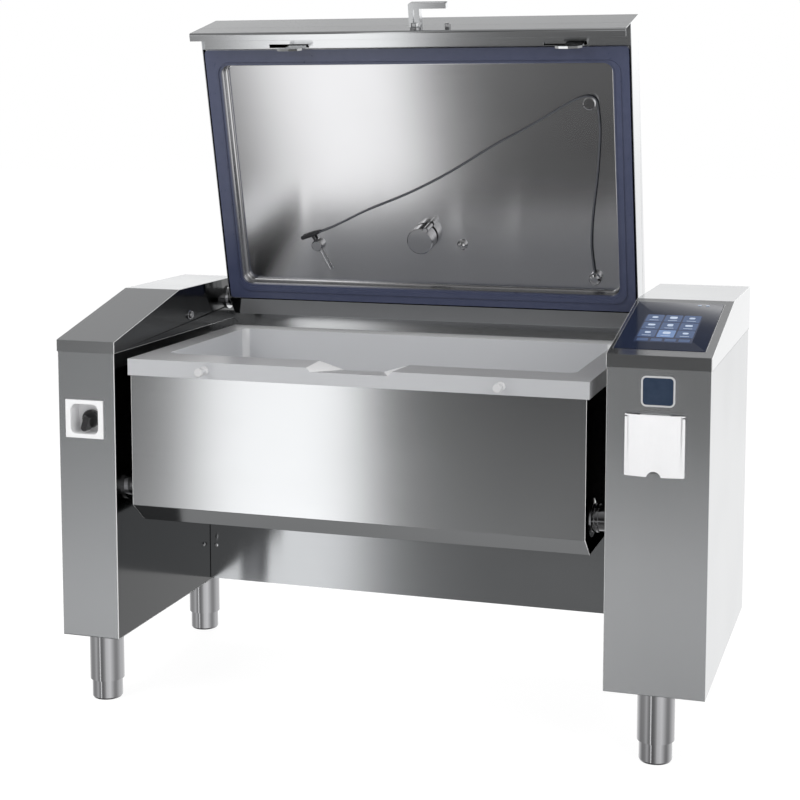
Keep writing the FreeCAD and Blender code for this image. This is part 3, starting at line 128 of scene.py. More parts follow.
def new_group(name, inputs, outputs):
    """A node group with these number sockets and a Normal output, its graph and its input sockets."""
    tree = bpy.data.node_groups.new(name, "ShaderNodeTree")
    for label in inputs:
        tree.interface.new_socket(label, in_out="INPUT", socket_type="NodeSocketFloat")
    for label in outputs:
        tree.interface.new_socket(label, in_out="OUTPUT", socket_type="NodeSocketFloat")
    tree.interface.new_socket("Normal", in_out="OUTPUT", socket_type="NodeSocketVector")
    return tree, Graph(tree), tree.nodes.new("NodeGroupInput").outputs


def close_group(tree, made):
    """Links what the group has made to its outputs."""
    out = tree.nodes.new("NodeGroupOutput")
    for label, socket in made.items():
        tree.links.new(socket, out.inputs[label])


def brushed_group():
    """Streaks, smudges and a normal of brushed sheet. Streaks run along X, or along Y on sides."""
    masks = ("Left Side", "Right Side", "Top", "Edge")
    tree, graph, given = new_group("brushed_sheet", ("Upright", "Bump"), ("Streak", "Smudge", *masks))
    spot = graph.add("TexCoord")
    side = graph.add("SeparateXYZ", {0: spot.outputs["Normal"]})
    turned = graph.math("ABSOLUTE", side.outputs[0])
    is_side = graph.math("GREATER_THAN", turned, SIDE_SHARE)
    past_front = graph.math("GREATER_THAN", turned, EDGE_SHARE)
    before_side = graph.math("LESS_THAN", turned, FLAT_SHARE)

    def streaks(stretch, seed):
        given_place = {"Vector": spot.outputs["Object"], "Scale": stretch, "Location": (seed, seed, seed)}
        place = graph.add("Mapping", given_place).outputs[0]
        noise = graph.add("TexNoise", {"Vector": place, "Scale": 1.0, "Detail": 3.0, "Roughness": 0.6})
        return noise.outputs["Fac"]

    across = streaks((3, 700, 700), 1.3)
    back = streaks((700, 3, 700), 4.1)
    upright = streaks((700, 700, 3), 7.7)
    streak = graph.mix(given["Upright"], graph.mix(is_side, across, back), upright)
    blot = {"Vector": spot.outputs["Object"], "Scale": 3.1, "Detail": 4.0, "Roughness": 0.55}
    bump = graph.add("Bump", {"Strength": given["Bump"], "Distance": 0.0004, "Height": streak})
    close_group(tree, {
        "Streak": streak,
        "Smudge": graph.add("TexNoise", blot).outputs["Fac"],
        "Normal": bump.outputs[0],
        "Left Side": graph.math("LESS_THAN", side.outputs[0], -FLAT_SHARE),
        "Right Side": graph.math("GREATER_THAN", side.outputs[0], FLAT_SHARE),
        "Top": graph.math("GREATER_THAN", side.outputs[2], SIDE_SHARE),
        "Edge": graph.math("MULTIPLY", past_front, before_side),
    })
    return tree


def grain_group():
    """The grain of a moulded, cast, painted or enamelled face, and the normal of a finer one in it."""
    tree, graph, given = new_group("fine_grain", ("Scale", "Detail", "Coarseness", "Bump"), ("Grain",))
    spot = graph.add("TexCoord").outputs["Object"]
    coarse = {"Vector": spot, "Roughness": given["Coarseness"]}
    coarse.update({key: given[key] for key in ("Scale", "Detail")})
    finer = graph.math("MULTIPLY", given["Scale"], 18.0)
    fine = graph.add("TexNoise", {"Vector": spot, "Scale": finer, "Detail": 2.0}).outputs["Fac"]
    relief = graph.add("Bump", {"Strength": given["Bump"], "Distance": 0.0006, "Height": fine})
    close_group(tree, {"Grain": graph.add("TexNoise", coarse).outputs["Fac"], "Normal": relief.outputs[0]})
    return tree


BRUSHED = brushed_group()
GRAIN = grain_group()


def new_material(name):
    made = bpy.data.materials.new(name)
    made.use_nodes = True
    made.node_tree.nodes.clear()
    return made, Graph(made.node_tree)


def finish_material(graph, inputs, constants=()):
    """The material's shader and its output."""
    shader = graph.add("BsdfPrincipled", inputs)
    for key, value in constants:
        shader.inputs[key].default_value = value
    out = graph.add("OutputMaterial")
    graph.tree.links.new(shader.outputs[0], out.inputs[0])


def grained(graph, scale, detail, coarseness=0.5, bump=0.0):
    """The grain group placed in a material with its values."""
    values = {"Scale": scale, "Detail": detail, "Coarseness": coarseness, "Bump": bump}
    made = graph.add("Group", node_tree=GRAIN)
    for key, value in values.items():
        made.inputs[key].default_value = value
    return made.outputs


def brush_way(graph, upright):
    """The direction across the brushing, along which the sheet's highlights spread."""
    spot = graph.add("TexCoord")
    if upright:
        way = (0, 0, 1)
    else:
        side = graph.add("SeparateXYZ", {0: spot.outputs["Normal"]})
        is_side = graph.math("GREATER_THAN", graph.math("ABSOLUTE", side.outputs[0]), SIDE_SHARE)
        way = graph.mix(is_side, rgb(1, 0, 0), rgb(0, 1, 0))
    across = graph.add("VectorMath", {0: spot.outputs["Normal"], 1: way}, operation="CROSS_PRODUCT")
    turn = {"vector_type": "VECTOR", "convert_from": "OBJECT", "convert_to": "WORLD"}
    return graph.add("VectorTransform", {0: across.outputs[0]}, **turn).outputs[0]


# Where the pan's cavity starts behind its front wall, and how much less metal a partly matte face is there,
# which paints light into the cavity
CAVITY_FRONT = -0.27
CAVITY_PAINTED_LIGHT_SHARE = 0.25
TOP_SATIN = 0.4
# Near white of the painted highlight on bevelled edges
EDGE_HIGHLIGHT_WHITE = rgb(0.96, 0.96, 0.96)


def metal(
    name, colour, rough, streak=0.05, smudge=0.05, bump=0.03, upright=0.0, tint=0.03, grain=0.8,
    side_rough=None, inner=(), painted_shade_tone=0.2, satin=None, edge_tint=1.0, painted_edge_shine=0.0,
):
    """Stainless sheet: brushed streaks in colour, roughness and normal, and faint large smudges.

    Side faces may be smoother, and inner ones get a painted shade. Faces that don't look up may be partly matte
    and painted lighter than the top, lighter still in the pan's cavity, and bevelled edge faces may get a
    painted highlight.
    """
    made, graph = new_material(name)
    sheet = graph.add("Group", node_tree=BRUSHED)
    sheet.inputs["Upright"].default_value = upright
    sheet.inputs["Bump"].default_value = bump
    dark = tuple(c * (1 - tint) for c in colour)
    light = tuple(min(1, c * (1 + tint)) for c in colour)
    tone = graph.mix(sheet.outputs["Streak"], rgb(*dark), rgb(*light))
    spread = graph.math("MULTIPLY_ADD", sheet.outputs["Streak"], streak)
    spread.node.inputs[2].default_value = rough - streak / 2
    blots = graph.math("MULTIPLY_ADD", sheet.outputs["Smudge"], smudge)
    blots.node.inputs[2].default_value = -smudge / 2
    roughness = graph.math("ADD", spread, blots, clamp=True)
    if side_rough is not None:
        sides = graph.math("ADD", sheet.outputs["Left Side"], sheet.outputs["Right Side"])
        smoother = graph.math("MULTIPLY", sides, rough - side_rough)
        roughness = graph.math("SUBTRACT", roughness, smoother, clamp=True)
    # Painted shade: inner side faces, which face the other parts, get a darker copy of the sheet's colour.
    for face in inner:
        tone = graph.mix(sheet.outputs[face], tone, rgb(*(c * painted_shade_tone for c in colour)))
    inputs = {
        "Base Color": tone,
        "Metallic": 1.0,
        "Roughness": roughness,
        "Normal": sheet.outputs["Normal"],
        "Tangent": brush_way(graph, upright),
    }
    # Painted light and shade: faces that don't look up get a lighter matte colour than the mirror-like top of
    # the same sheet, and faces in the pan's cavity get a lighter and more matte one still.
    if satin is not None:
        satin_share, matte, cavity_painted_light = satin
        place = graph.add("SeparateXYZ", {0: graph.add("TexCoord").outputs["Object"]})
        within = graph.math("GREATER_THAN", place.outputs[1], CAVITY_FRONT)
        matte = graph.mix(within, rgb(*matte), rgb(*cavity_painted_light))
        share = graph.math("MULTIPLY_ADD", within, CAVITY_PAINTED_LIGHT_SHARE)
        share.node.inputs[2].default_value = satin_share
        lower = graph.math("SUBTRACT", 1.0, sheet.outputs["Top"])
        share = graph.mix(lower, rgb(TOP_SATIN, TOP_SATIN, TOP_SATIN), share)
        inputs["Metallic"] = graph.math("SUBTRACT", 1.0, share)
        inputs["Base Color"] = graph.mix(lower, tone, matte)
    # Painted highlight: bevelled edge faces are mixed towards near white and made less metal, standing in for
    # the bright edge line that light gives.
    if painted_edge_shine:
        edge_highlight_share = graph.math("MULTIPLY", sheet.outputs["Edge"], painted_edge_shine)
        inputs["Base Color"] = graph.mix(edge_highlight_share, inputs["Base Color"], EDGE_HIGHLIGHT_WHITE)
        inputs["Metallic"] = graph.math("SUBTRACT", inputs["Metallic"], edge_highlight_share, clamp=True)
    constants = [("Anisotropic", grain), ("Specular Tint", rgb(edge_tint, edge_tint, edge_tint))]
    finish_material(graph, inputs, constants)
    return made


GRAIN_SPREAD = 0.14


def plain(name, low, high, rough, metallic=0.0, scale=40.0, bump=0.05, constants=()):
    """Moulded, cast or painted material: fine grain in colour, roughness and normal."""
    made, graph = new_material(name)
    face = grained(graph, scale, 5.0, 0.6, bump)
    spread = graph.math("MULTIPLY_ADD", face["Grain"], GRAIN_SPREAD)
    spread.node.inputs[2].default_value = rough - GRAIN_SPREAD / 2
    inputs = {
        "Base Color": graph.mix(face["Grain"], rgb(*low), rgb(*high)),
        "Metallic": metallic,
        "Roughness": spread,
        "Normal": face["Normal"],
    }
    finish_material(graph, inputs, constants)
    return made


STEEL = metal("stainless_level", (0.60, 0.61, 0.62), 0.15, grain=0.95)
# Painted shade on the jacket's left and right side faces, with a low specular tint that darkens its grazing
# reflections as well; painted highlight on its bevelled edges.
JACKET = metal(
    "stainless_jacket", (0.62, 0.63, 0.64), 0.15, grain=0.95,
    inner=("Left Side", "Right Side"), painted_shade_tone=0.3, edge_tint=0.03, painted_edge_shine=0.9,
)
# The left casing is given a darker tone than the right casing of the same steel, a painted shade; painted shade
# on its right side face and painted highlight on its bevelled edges.
LEFT_CASING = metal(
    "left_casing_sheet", (0.44, 0.45, 0.46), 0.20, upright=1.0, grain=0.95, side_rough=0.12,
    inner=("Right Side",), painted_shade_tone=0.12, painted_edge_shine=0.8,
)
# Painted shade on the right casing's left side face, painted highlight on its bevelled edges.
RIGHT_CASING = metal(
    "right_casing_sheet", (0.54, 0.55, 0.56), 0.20, upright=1.0, grain=0.95, side_rough=0.12,
    inner=("Left Side",), painted_shade_tone=0.15, painted_edge_shine=0.6,
)
# Painted shade on the left hood's right side face, painted highlight on its bevelled edges.
LEFT_HOOD = metal(
    "left_hood_sheet", (0.58, 0.59, 0.60), 0.18, grain=0.95, side_rough=0.10,
    inner=("Right Side",), painted_shade_tone=0.12, painted_edge_shine=0.6,
)
# Painted highlight on the right hood's bevelled edges.
RIGHT_HOOD = metal(
    "right_hood_sheet", (0.60, 0.61, 0.62), 0.18, grain=0.95, side_rough=0.10, painted_edge_shine=0.6,
)
PANEL = metal("stainless_panel", (0.62, 0.62, 0.63), 0.15, streak=0.03, bump=0.0, grain=0.95)
# Painted light on the vessel's faces that don't look up, more of it in the pan's cavity, and painted highlight
# on its bevelled edges.
VESSEL = metal(
    "stainless_vessel", (0.60, 0.60, 0.61), 0.34, smudge=0.1, grain=0.0,
    satin=(0.5, (0.66, 0.67, 0.69), (0.74, 0.75, 0.77)), painted_edge_shine=0.5,
)
BEAM = metal("stainless_beam", (0.40, 0.41, 0.42), 0.15, grain=0.95)
# The studs' faces that don't look up get a lighter matte colour, a painted light.
STUD_TONE = (0.74, 0.74, 0.75)
STUD = metal(
    "stainless_stud", (0.72, 0.72, 0.73), 0.34, bump=0.02, grain=0.0, satin=(0.6, STUD_TONE, STUD_TONE),
)
BRIGHT = metal("stainless_bright", (0.60, 0.60, 0.61), 0.12, streak=0.03, bump=0.02, grain=0.2)
TUBE = metal("stainless_tube", (0.36, 0.36, 0.37), 0.10, streak=0.03, bump=0.02, grain=0.2)
# The switch cup is painted near white and non-metal: painted light and reflection in place of the cup's bright
# gloss and the shade in its hollow.
CUP = plain("cup_painted_light", (0.90, 0.90, 0.91), (0.96, 0.96, 0.97), 0.15, metallic=0.0)
CAST = plain("cast_aluminium", (0.45, 0.45, 0.46), (0.58, 0.58, 0.59), 0.5, metallic=0.9, bump=0.3)
ZINC = plain("zinc_sheet", (0.60, 0.61, 0.63), (0.70, 0.71, 0.73), 0.4, metallic=0.7)
WHITE = plain("white_moulding", (0.84, 0.84, 0.85), (0.88, 0.88, 0.89), 0.45)
BLACK = plain("black_moulding", (0.012, 0.012, 0.014), (0.03, 0.03, 0.032), 0.34)
KNOB = plain(
    "knob_moulding", (0.008, 0.008, 0.009), (0.020, 0.020, 0.022), 0.24, bump=0.02,
    constants=[("Coat Weight", 0.7), ("Coat Roughness", 0.08)],
)
MOTOR = plain("motor_paint", (0.03, 0.05, 0.10), (0.05, 0.08, 0.15), 0.4)
WOOL = plain("mineral_wool", (0.55, 0.50, 0.34), (0.72, 0.67, 0.48), 0.95, bump=0.9, scale=90)
SEAL = plain(
    "seal_rubber", (0.048, 0.058, 0.110), (0.072, 0.084, 0.150), 0.30, bump=0.04,
    constants=[("Coat Weight", 0.6), ("Coat Roughness", 0.15)],
)
CORD = plain("cord_sheath", (0.06, 0.065, 0.075), (0.10, 0.105, 0.12), 0.35, scale=200)


def rimmed_plate(name, node, rim, corner):
    """A dark enamelled plate with a bright rim, rim metres wide, all round its front."""
    made, graph = new_material(name)
    low, high = (Vector(corner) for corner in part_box(node))
    middle, half = (low + high) / 2, (high - low) / 2
    spot = graph.add("TexCoord")
    place = graph.add("SeparateXYZ", {0: spot.outputs["Object"]})
    reach = []
    for axis in (0, 2):
        off = graph.math("ABSOLUTE", graph.math("SUBTRACT", place.outputs[axis], middle[axis]))
        past = graph.math("MAXIMUM", graph.math("SUBTRACT", off, half[axis] - corner), 0.0)
        reach.append(graph.math("MULTIPLY", past, past))
    from_corner = graph.math("SQRT", graph.math("ADD", *reach))
    on_rim = graph.math("GREATER_THAN", from_corner, corner - rim)
    grain = grained(graph, 60.0, 4.0)["Grain"]
    enamel = graph.mix(grain, rgb(0.018, 0.032, 0.060), rgb(0.030, 0.048, 0.085))
    bright = graph.mix(grain, rgb(0.66, 0.66, 0.67), rgb(0.74, 0.74, 0.75))
    relief = graph.add("Bump", {"Strength": 0.05, "Distance": 0.0004, "Height": grain})
    inputs = {
        "Base Color": graph.mix(on_rim, enamel, bright),
        "Metallic": graph.math("MULTIPLY", on_rim, 0.3),
        "Roughness": graph.math("MULTIPLY_ADD", grain, 0.12),
        "Normal": relief.outputs[0],
    }
    inputs["Roughness"].node.inputs[2].default_value = 0.16
    finish_material(graph, inputs)
    return made


PLATE = rimmed_plate("bare_plate", "blank_plate", 0.004, 0.012)
COVER = plain("flap_cover", (0.84, 0.84, 0.85), (0.88, 0.88, 0.89), 0.35, bump=0.02)
GLASS = plain(
    "black_glass", (0.010, 0.014, 0.030), (0.014, 0.020, 0.040), 0.12, bump=0.0, constants=[("IOR", 1.22)],
)

FINISH = {
    "left_casing": LEFT_CASING, "right_casing": RIGHT_CASING,
    "left_hood": LEFT_HOOD, "right_hood": RIGHT_HOOD,
    "base_plates": STEEL, "crossbeam": BEAM, "casing_screws": BRIGHT, "leg_tubes": TUBE, "feet": TUBE,
    "trunnion_bearing_left": TUBE, "trunnion_bearing_right": TUBE, "lid_bearing_left": BRIGHT,
    "lid_bearing_right": BRIGHT, "tilt_gearbox": CAST, "tilt_motor": MOTOR, "torsion_anchor": ZINC,
    "lid_torsion_bar": BRIGHT, "touch_glass": GLASS, "display_unit": BLACK, "control_box": ZINC,
    "blank_plate": PLATE, "flap_tray": STEEL, "flap_pin": BRIGHT, "switch_frame": WHITE, "switch_cup": CUP,
    "switch_body": BLACK, "flap_cover": COVER, "switch_knob": BLACK, "pan_vessel": VESSEL, "pan_jacket": JACKET,
    "heating_plates": CAST, "pan_insulation": WOOL, "trunnion_left": TUBE, "trunnion_right": TUBE,
    "latch_studs": STUD, "lid_shell": STEEL, "lid_apron": STEEL, "lid_tray": PANEL, "lid_seal": SEAL,
    "hook_strip": STEEL, "lid_insulation": WOOL, "lid_shaft_left": BRIGHT, "lid_shaft_right": BRIGHT,
    "bar_guides": STEEL, "lever_bush": BRIGHT, "lever_stop": BRIGHT, "vent_cap": BRIGHT, "spray_nozzle": BRIGHT,
    "cable_gland": BRIGHT, "cable_knob": BRIGHT, "probe_holder": BRIGHT, "probe_needle": BRIGHT,
    "probe_grip": BLACK, "probe_cable": CORD, "lock_lever": STEEL, "lock_crank": STEEL, "lock_bar": STEEL,
    "lock_link": STEEL,
}
for name, material in FINISH.items():
    mesh = NODES[name].data
    mesh.materials.clear()
    mesh.materials.append(material)

BEVELS = {
    "left_hood": 0.003, "right_hood": 0.003, "left_casing": 0.003, "right_casing": 0.003,
    "pan_vessel": 0.002, "pan_jacket": 0.003, "lid_shell": 0.001, "lid_apron": 0.001, "lid_seal": 0.003,
    "crossbeam": 0.0015, "flap_cover": 0.0008, "switch_frame": 0.001, "blank_plate": 0.0008,
    "lock_lever": 0.0015, "lever_stop": 0.001, "touch_glass": 0.0008, "hook_strip": 0.0004,
}
for name, width in BEVELS.items():
    obj = NODES[name]
    weld = obj.modifiers.new("weld", "WELD")
    weld.merge_threshold = 0.00001
    bevel = obj.modifiers.new("bevel", "BEVEL")
    bevel.width = width
    bevel.segments = 3
    bevel.limit_method = "ANGLE"
    bevel.angle_limit = math.radians(35)
    bevel.harden_normals = True


# The probe's cable

OPEN_ANGLE = math.radians(76.5)
HINGE = Vector((0, 0.3505, 0.975))
PAN_MID_X = -0.039


def on_open_lid(x, y, z):
    """A point of the closed lid, in millimetres from the pan's middle, where it is with the lid open."""
    spot = Vector((PAN_MID_X + x / 1000, y / 1000 - 0.3625, z / 1000)) - HINGE
    return HINGE + Matrix.Rotation(-OPEN_ANGLE, 3, "X") @ Vector((spot.x + HINGE.x, spot.y, spot.z))


CABLE_Z = 927
CABLE_WIDTH, CABLE_LENGTH = 0.0045, 1.348
ROUTE = (
    (-300, 495), (-272, 485.3), (-222, 461.5), (-166, 433), (-108, 410), (-48, 386), (12, 358),
    (68, 329), (120, 299), (170, 268), (221, 238), (273, 211.5), (325, 183), (373, 154),
    (416, 129), (444, 116.5), (467, 112.3), (484.5, 121), (488.5, 147), (491.5, 196), (488, 252), (482, 310),
    (474, 368), (465, 426), (459, 484), (457.5, 536), (464, 589),
)
curve = bpy.data.curves.new("cable", "CURVE")
curve.dimensions = "3D"
curve.bevel_depth = CABLE_WIDTH / 2
curve.bevel_resolution = 4
spline = curve.splines.new("NURBS")
spline.points.add(len(ROUTE) - 1)
for spot, (x, y) in zip(spline.points, ROUTE):
    spot.co = (*on_open_lid(x, y, CABLE_Z), 1)
spline.order_u = 3
spline.use_endpoint_u = True
spline.resolution_u = 8
cable = collection_link(bpy.data.objects.new("cable", curve))
curve.materials.append(CORD)
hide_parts("probe_cable")
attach(cable, "lid")


# The rear rail between the columns, behind the pan's rim


def folded_strip(name, low_x, high_x, front, foot, top, lean, depth, sheet, material):
    """A strip across the machine that leans back, its top edge folded back, as one closed shell."""
    edge = front + lean
    section = (
        (front, foot), (edge, top), (edge + depth, top), (edge + depth, top - sheet),
        (edge + sheet, top - sheet), (front + sheet, foot),
    )
    bm = bmesh.new()
    ring = [bm.verts.new((low_x, y, z)) for y, z in section]
    face = bm.faces.new(ring)
    drawn = bmesh.ops.extrude_face_region(bm, geom=[face])
    ends = [v for v in drawn["geom"] if isinstance(v, bmesh.types.BMVert)]
    bmesh.ops.translate(bm, verts=ends, vec=(high_x - low_x, 0, 0))
    bmesh.ops.recalc_face_normals(bm, faces=bm.faces)
    obj = from_bmesh(name, bm, material)
    bevel = obj.modifiers.new("bevel", "BEVEL")
    bevel.width = 0.0006
    bevel.segments = 3
    bevel.harden_normals = True
    return obj


RAIL_FRONT, RAIL_LEAN = 0.3830, 0.0125
RAIL_FOOT, RAIL_TOP = 0.868, 0.930
RAIL_DEPTH, RAIL_SHEET = 0.006, 0.002
rail = folded_strip(
    "rear_rail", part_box("left_casing")[1][0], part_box("right_casing")[0][0],
    RAIL_FRONT, RAIL_FOOT, RAIL_TOP, RAIL_LEAN, RAIL_DEPTH, RAIL_SHEET, STEEL,
)
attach(rail, "frame")


# The isolator's knob: a knurled disc with a stubby grip


def loop_at(bm, points, y, middle):
    return [bm.verts.new((middle[0] + x, y, middle[1] + z)) for x, z in points]


def drawn_solid(bm, sections, middle):
    """A closed solid through outlines of equal count: sections are (outline, y), front to back."""
    loops = [loop_at(bm, outline, y, middle) for outline, y in sections]
    count = len(loops[0])
    for near_loop, far_loop in zip(loops, loops[1:]):
        for i in range(count):
            j = (i + 1) % count
            bm.faces.new((near_loop[i], near_loop[j], far_loop[j], far_loop[i]))
    bm.faces.new(loops[0])
    bm.faces.new(loops[-1])


def knurled(radius, ridges):
    """A round outline with small ridges, in metres."""
    outline = []
    for i in range(2 * ridges):
        angle = math.pi * i / ridges
        reach = radius - (0.0007 if i % 2 else 0)
        outline.append((reach * math.cos(angle), reach * math.sin(angle)))
    return outline


def grip_outline(reach, heel, half, way, steps=8):
    """A bar from its heel to a rounded end, pointing at an angle."""
    flat = [(-heel, half), (-heel, -half)]
    for i in range(steps + 1):
        angle = -math.pi / 2 + math.pi * i / steps
        flat.append((reach - half + half * math.cos(angle), half * math.sin(angle)))
    turn = Matrix.Rotation(way, 2)
    return [tuple(turn @ Vector(spot)) for spot in flat]


KNOB_AXIS = (-0.7415, 0.736)
CUP_FLOOR, DISC_FACE, GRIP_FACE = -0.3208, -0.3345, -0.3570
GRIP_WAY = math.radians(-108)
DISC_RADIUS, DISC_RIDGES = 0.0235, 26
bm = bmesh.new()
disc = knurled(DISC_RADIUS, DISC_RIDGES)
crown = [(x * 0.9, z * 0.9) for x, z in disc]
drawn_solid(bm, [(crown, DISC_FACE), (disc, DISC_FACE + 0.002), (disc, CUP_FLOOR)], KNOB_AXIS)
ends = (
    (0.0285, 0.008, 0.0080, GRIP_FACE),
    (0.0300, 0.009, 0.0095, GRIP_FACE + 0.003),
    (0.0305, 0.010, 0.0100, DISC_FACE + 0.001),
)
drawn_solid(bm, [(grip_outline(reach, heel, half, GRIP_WAY), y) for reach, heel, half, y in ends], KNOB_AXIS)
bmesh.ops.recalc_face_normals(bm, faces=bm.faces)
knob = from_bmesh("knob", bm, KNOB)
soften = knob.modifiers.new("bevel", "BEVEL")
soften.width = 0.0008
soften.segments = 3
soften.limit_method = "ANGLE"
soften.angle_limit = math.radians(40)
soften.harden_normals = True
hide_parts("switch_knob")
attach(knob, "isolator_knob")


# The display on the touch glass

SLOPE = math.atan2(81, 410)
SLOPE_AT = Vector((0.578, -0.3625, 0.967))


def on_slope(x, y, lift=1.0):
    """A point of the right hood's slope, in millimetres across it, up along it and off it."""
    turn = Matrix.Rotation(SLOPE, 3, "X")
    return SLOPE_AT + turn @ Vector((x / 1000, y / 1000, lift / 1000))


def screen_material(name, low, high, strength):
    made, graph = new_material(name)
    tone = graph.mix(grained(graph, 60.0, 2.0)["Grain"], rgb(*low), rgb(*high))
    finish_material(
        graph,
        {"Base Color": tone, "Roughness": 0.2, "Emission Color": tone, "Emission Strength": strength},
    )
    return made


SCREEN = screen_material("screen_ground", (0.012, 0.020, 0.050), (0.016, 0.026, 0.062), 0.3)
TILE = screen_material("screen_tile", (0.034, 0.060, 0.130), (0.044, 0.075, 0.155), 0.4)
TILE_LIGHT = screen_material("screen_tile_light", (0.085, 0.140, 0.270), (0.10, 0.165, 0.31), 0.5)
MARK = screen_material("screen_mark", (0.30, 0.36, 0.46), (0.38, 0.44, 0.54), 0.5)


def patch(name, x, y, width, height, lift, material, corner=2.0, steps=4):
    """A thin rounded tile on the slope."""
    bm = bmesh.new()
    ring = []
    for sx, sy, start in ((1, 1, 0), (-1, 1, 90), (-1, -1, 180), (1, -1, 270)):
        for i in range(steps + 1):
            angle = math.radians(start + 90 * i / steps)
            px = x + sx * (width / 2 - corner) + corner * math.cos(angle)
            py = y + sy * (height / 2 - corner) + corner * math.sin(angle)
            ring.append(bm.verts.new(on_slope(px, py, lift)))
    face = bm.faces.new(ring)
    lifted = bmesh.ops.extrude_face_region(bm, geom=[face])
    up = on_slope(0, 0, 0.15) - on_slope(0, 0, 0)
    raised = [v for v in lifted["geom"] if isinstance(v, bmesh.types.BMVert)]
    bmesh.ops.translate(bm, verts=raised, vec=up)
    bmesh.ops.recalc_face_normals(bm, faces=bm.faces)
    obj = from_bmesh(name, bm, material)
    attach(obj, "frame")
    return obj


SCREEN_X, SCREEN_Y = 113, 187.5
patch("screen", SCREEN_X, SCREEN_Y, 134, 194, 1.05, SCREEN, 2)
for column in range(3):
    for row_index in range(3):
        centre = (column, row_index) == (1, 0)
        x = SCREEN_X + (column - 1) * 44
        y = SCREEN_Y - 36 + row_index * 56
        patch(f"tile_{column}_{row_index}", x, y, 40, 51, 1.25, TILE_LIGHT if centre else TILE, 3)
        icon_width = 14 + 4 * ((column + row_index) % 2)
        icon_height = 12 + 5 * (column % 2)
        patch(f"icon_{column}_{row_index}", x, y + 6, icon_width, icon_height, 1.45, MARK, 5)
        patch(f"caption_{column}_{row_index}", x, y - 15, 22, 2.2, 1.45, MARK, 1)
for i in range(4):
    patch(f"key_{i}", SCREEN_X - 48 + 32 * i, SCREEN_Y - 81, 26, 18, 1.25, TILE, 3)
for x in (161, 180):
    patch(f"mark_{x}", x, 372, 9, 5, 1.05, MARK, 2)


# Stage: floor, lamps, and a world whose bands only reflections see


def plane(name, corners, material):
    bm = bmesh.new()
    bm.faces.new([bm.verts.new(c) for c in corners])
    obj = from_bmesh(name, bm, material)
    return obj


floor_look, graph = new_material("floor")
path = graph.add("LightPath")
share = graph.math("MULTIPLY", path.outputs["Is Camera Ray"], 0.8)
matte = graph.add("BsdfDiffuse", {"Color": rgb(0.9, 0.9, 0.9)})
glow = graph.add("Emission", {"Color": rgb(1, 1, 1), "Strength": 1.15})
blend = graph.add("MixShader", {0: share, 1: matte.outputs[0], 2: glow.outputs[0]})
out = graph.add("OutputMaterial")
graph.tree.links.new(blend.outputs[0], out.inputs[0])
floor = plane("floor", [(-30, -30, 0), (30, -30, 0), (30, 30, 0), (-30, 30, 0)], floor_look)
floor.visible_glossy = False


def lamp(name, at, aim, size, power):
    data = bpy.data.lights.new(name, "AREA")
    data.shape = "RECTANGLE"
    data.size, data.size_y = size
    data.energy = power
    obj = collection_link(bpy.data.objects.new(name, data))
    obj.location = at
    obj.rotation_mode = "QUATERNION"
    obj.rotation_quaternion = (Vector(aim) - Vector(at)).to_track_quat("-Z", "Y")
    obj.visible_glossy = False
    return obj


lamp("key", (-2.6, -3.4, 3.4), (0, 0, 0.8), (2.2, 2.2), 90)
lamp("fill", (3.2, -2.6, 2.6), (0.3, 0, 0.7), (2.0, 2.4), 50)
lamp("top", (0, 0.4, 4.4), (0, 0.2, 0.9), (3.0, 2.0), 70)
lamp("rim", (-1.5, 3.6, 2.6), (0, 0.2, 0.9), (2.4, 1.4), 40)

world = bpy.data.worlds.new("studio")
bpy.context.scene.world = world
world.use_nodes = True
world.node_tree.nodes.clear()
graph = Graph(world.node_tree)


def along(value, low, high, stops):
    """A grey that changes from one angle to the next, in degrees between low and high."""
    place = graph.add("MapRange", {"Value": value, "From Min": low, "From Max": high}).outputs[0]
    return graph.ramp(place, [((angle - low) / (high - low), level / TOP_LEVEL) for angle, level in stops])


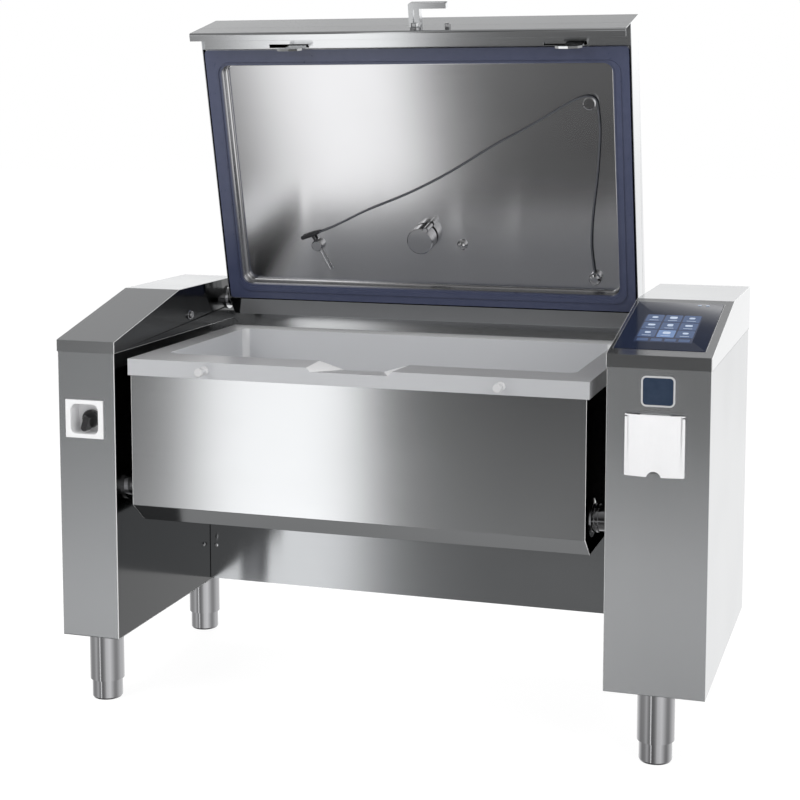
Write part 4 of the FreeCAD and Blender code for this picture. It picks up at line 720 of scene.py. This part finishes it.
TOP_LEVEL = 2.0
FRONT_BANDS = (
    (-90, 0.20), (-70, 0.25), (-50, 0.60), (-38, 0.24), (-26, 0.12), (-25.4, 0.22), (-24.7, 1.00),
    (-23.8, 1.46), (-19.5, 1.46), (-18.9, 0.70), (-18.3, 0.15), (-17, 0.05), (-14, 0.03), (-7, 0.03),
    (0, 0.12), (9, 0.35), (20, 0.85), (45, 1.10), (65, 0.60), (80, 0.25), (90, 0.22),
)
FRONT_FADE = ((-90, 0.0), (-55, 0.1), (-40, 1.0), (6, 1.0), (20, 0.45), (40, 0.0), (90, 0.0))
FRONT_LEVEL = (
    (-90, 0.20), (-40, 0.05), (-25, 0.03), (-20, 0.30), (-16, 0.40), (-11, 0.04), (-7, 0.0), (6, 0.0),
    (20, 0.12), (60, 0.3), (90, 0.5),
)
BACK_LEVEL = (
    (-90, 0.2), (-55, 0.5), (-32, 1.1), (-12, 1.12), (-3, 1.05), (4, 1.45), (13, 1.4), (20, 0.75),
    (25, 0.58), (29, 0.34), (32, 0.30), (60, 0.4), (90, 0.6),
)

way = graph.add("SeparateXYZ", {0: graph.add("TexCoord").outputs["Generated"]})
ahead = graph.math("MULTIPLY", way.outputs[1], -1.0)
round_angle = graph.math("MULTIPLY", graph.math("ARCTAN2", way.outputs[0], ahead), 180 / math.pi)
up_angle = graph.math("MULTIPLY", graph.math("ARCSINE", way.outputs[2]), 180 / math.pi)
fade = along(up_angle, -90, 90, FRONT_FADE)
bands = graph.mix(1.0, along(round_angle, -90, 90, FRONT_BANDS), fade, "MULTIPLY")
bands = graph.mix(1.0, bands, rgb(TOP_LEVEL, TOP_LEVEL, TOP_LEVEL), "MULTIPLY")
front = graph.mix(1.0, bands, along(up_angle, -90, 90, FRONT_LEVEL), "ADD")
back = along(up_angle, -90, 90, BACK_LEVEL)
turned = graph.math("ABSOLUTE", round_angle)
behind = graph.add("MapRange", {"Value": turned, "From Min": 95.0, "From Max": 130.0}).outputs[0]
mirrored = graph.mix(behind, front, back)
path = graph.add("LightPath")
seen = graph.math("MAXIMUM", path.outputs["Is Camera Ray"], path.outputs["Is Transmission Ray"])
level = graph.math("MULTIPLY_ADD", seen, 0.5)
level.node.inputs[2].default_value = 0.5
glossy = path.outputs["Is Glossy Ray"]
strength = graph.math("MULTIPLY_ADD", glossy, TOP_LEVEL)
graph.tree.links.new(graph.math("MULTIPLY", level, graph.math("SUBTRACT", 1.0, glossy)), strength.node.inputs[2])
tone = graph.mix(glossy, rgb(1, 1, 1), mirrored)
ground = graph.add("Background", {"Color": tone, "Strength": strength})
out = graph.add("OutputWorld")
graph.tree.links.new(ground.outputs[0], out.inputs[0])
bpy.context.scene.view_settings.view_transform = "Standard"
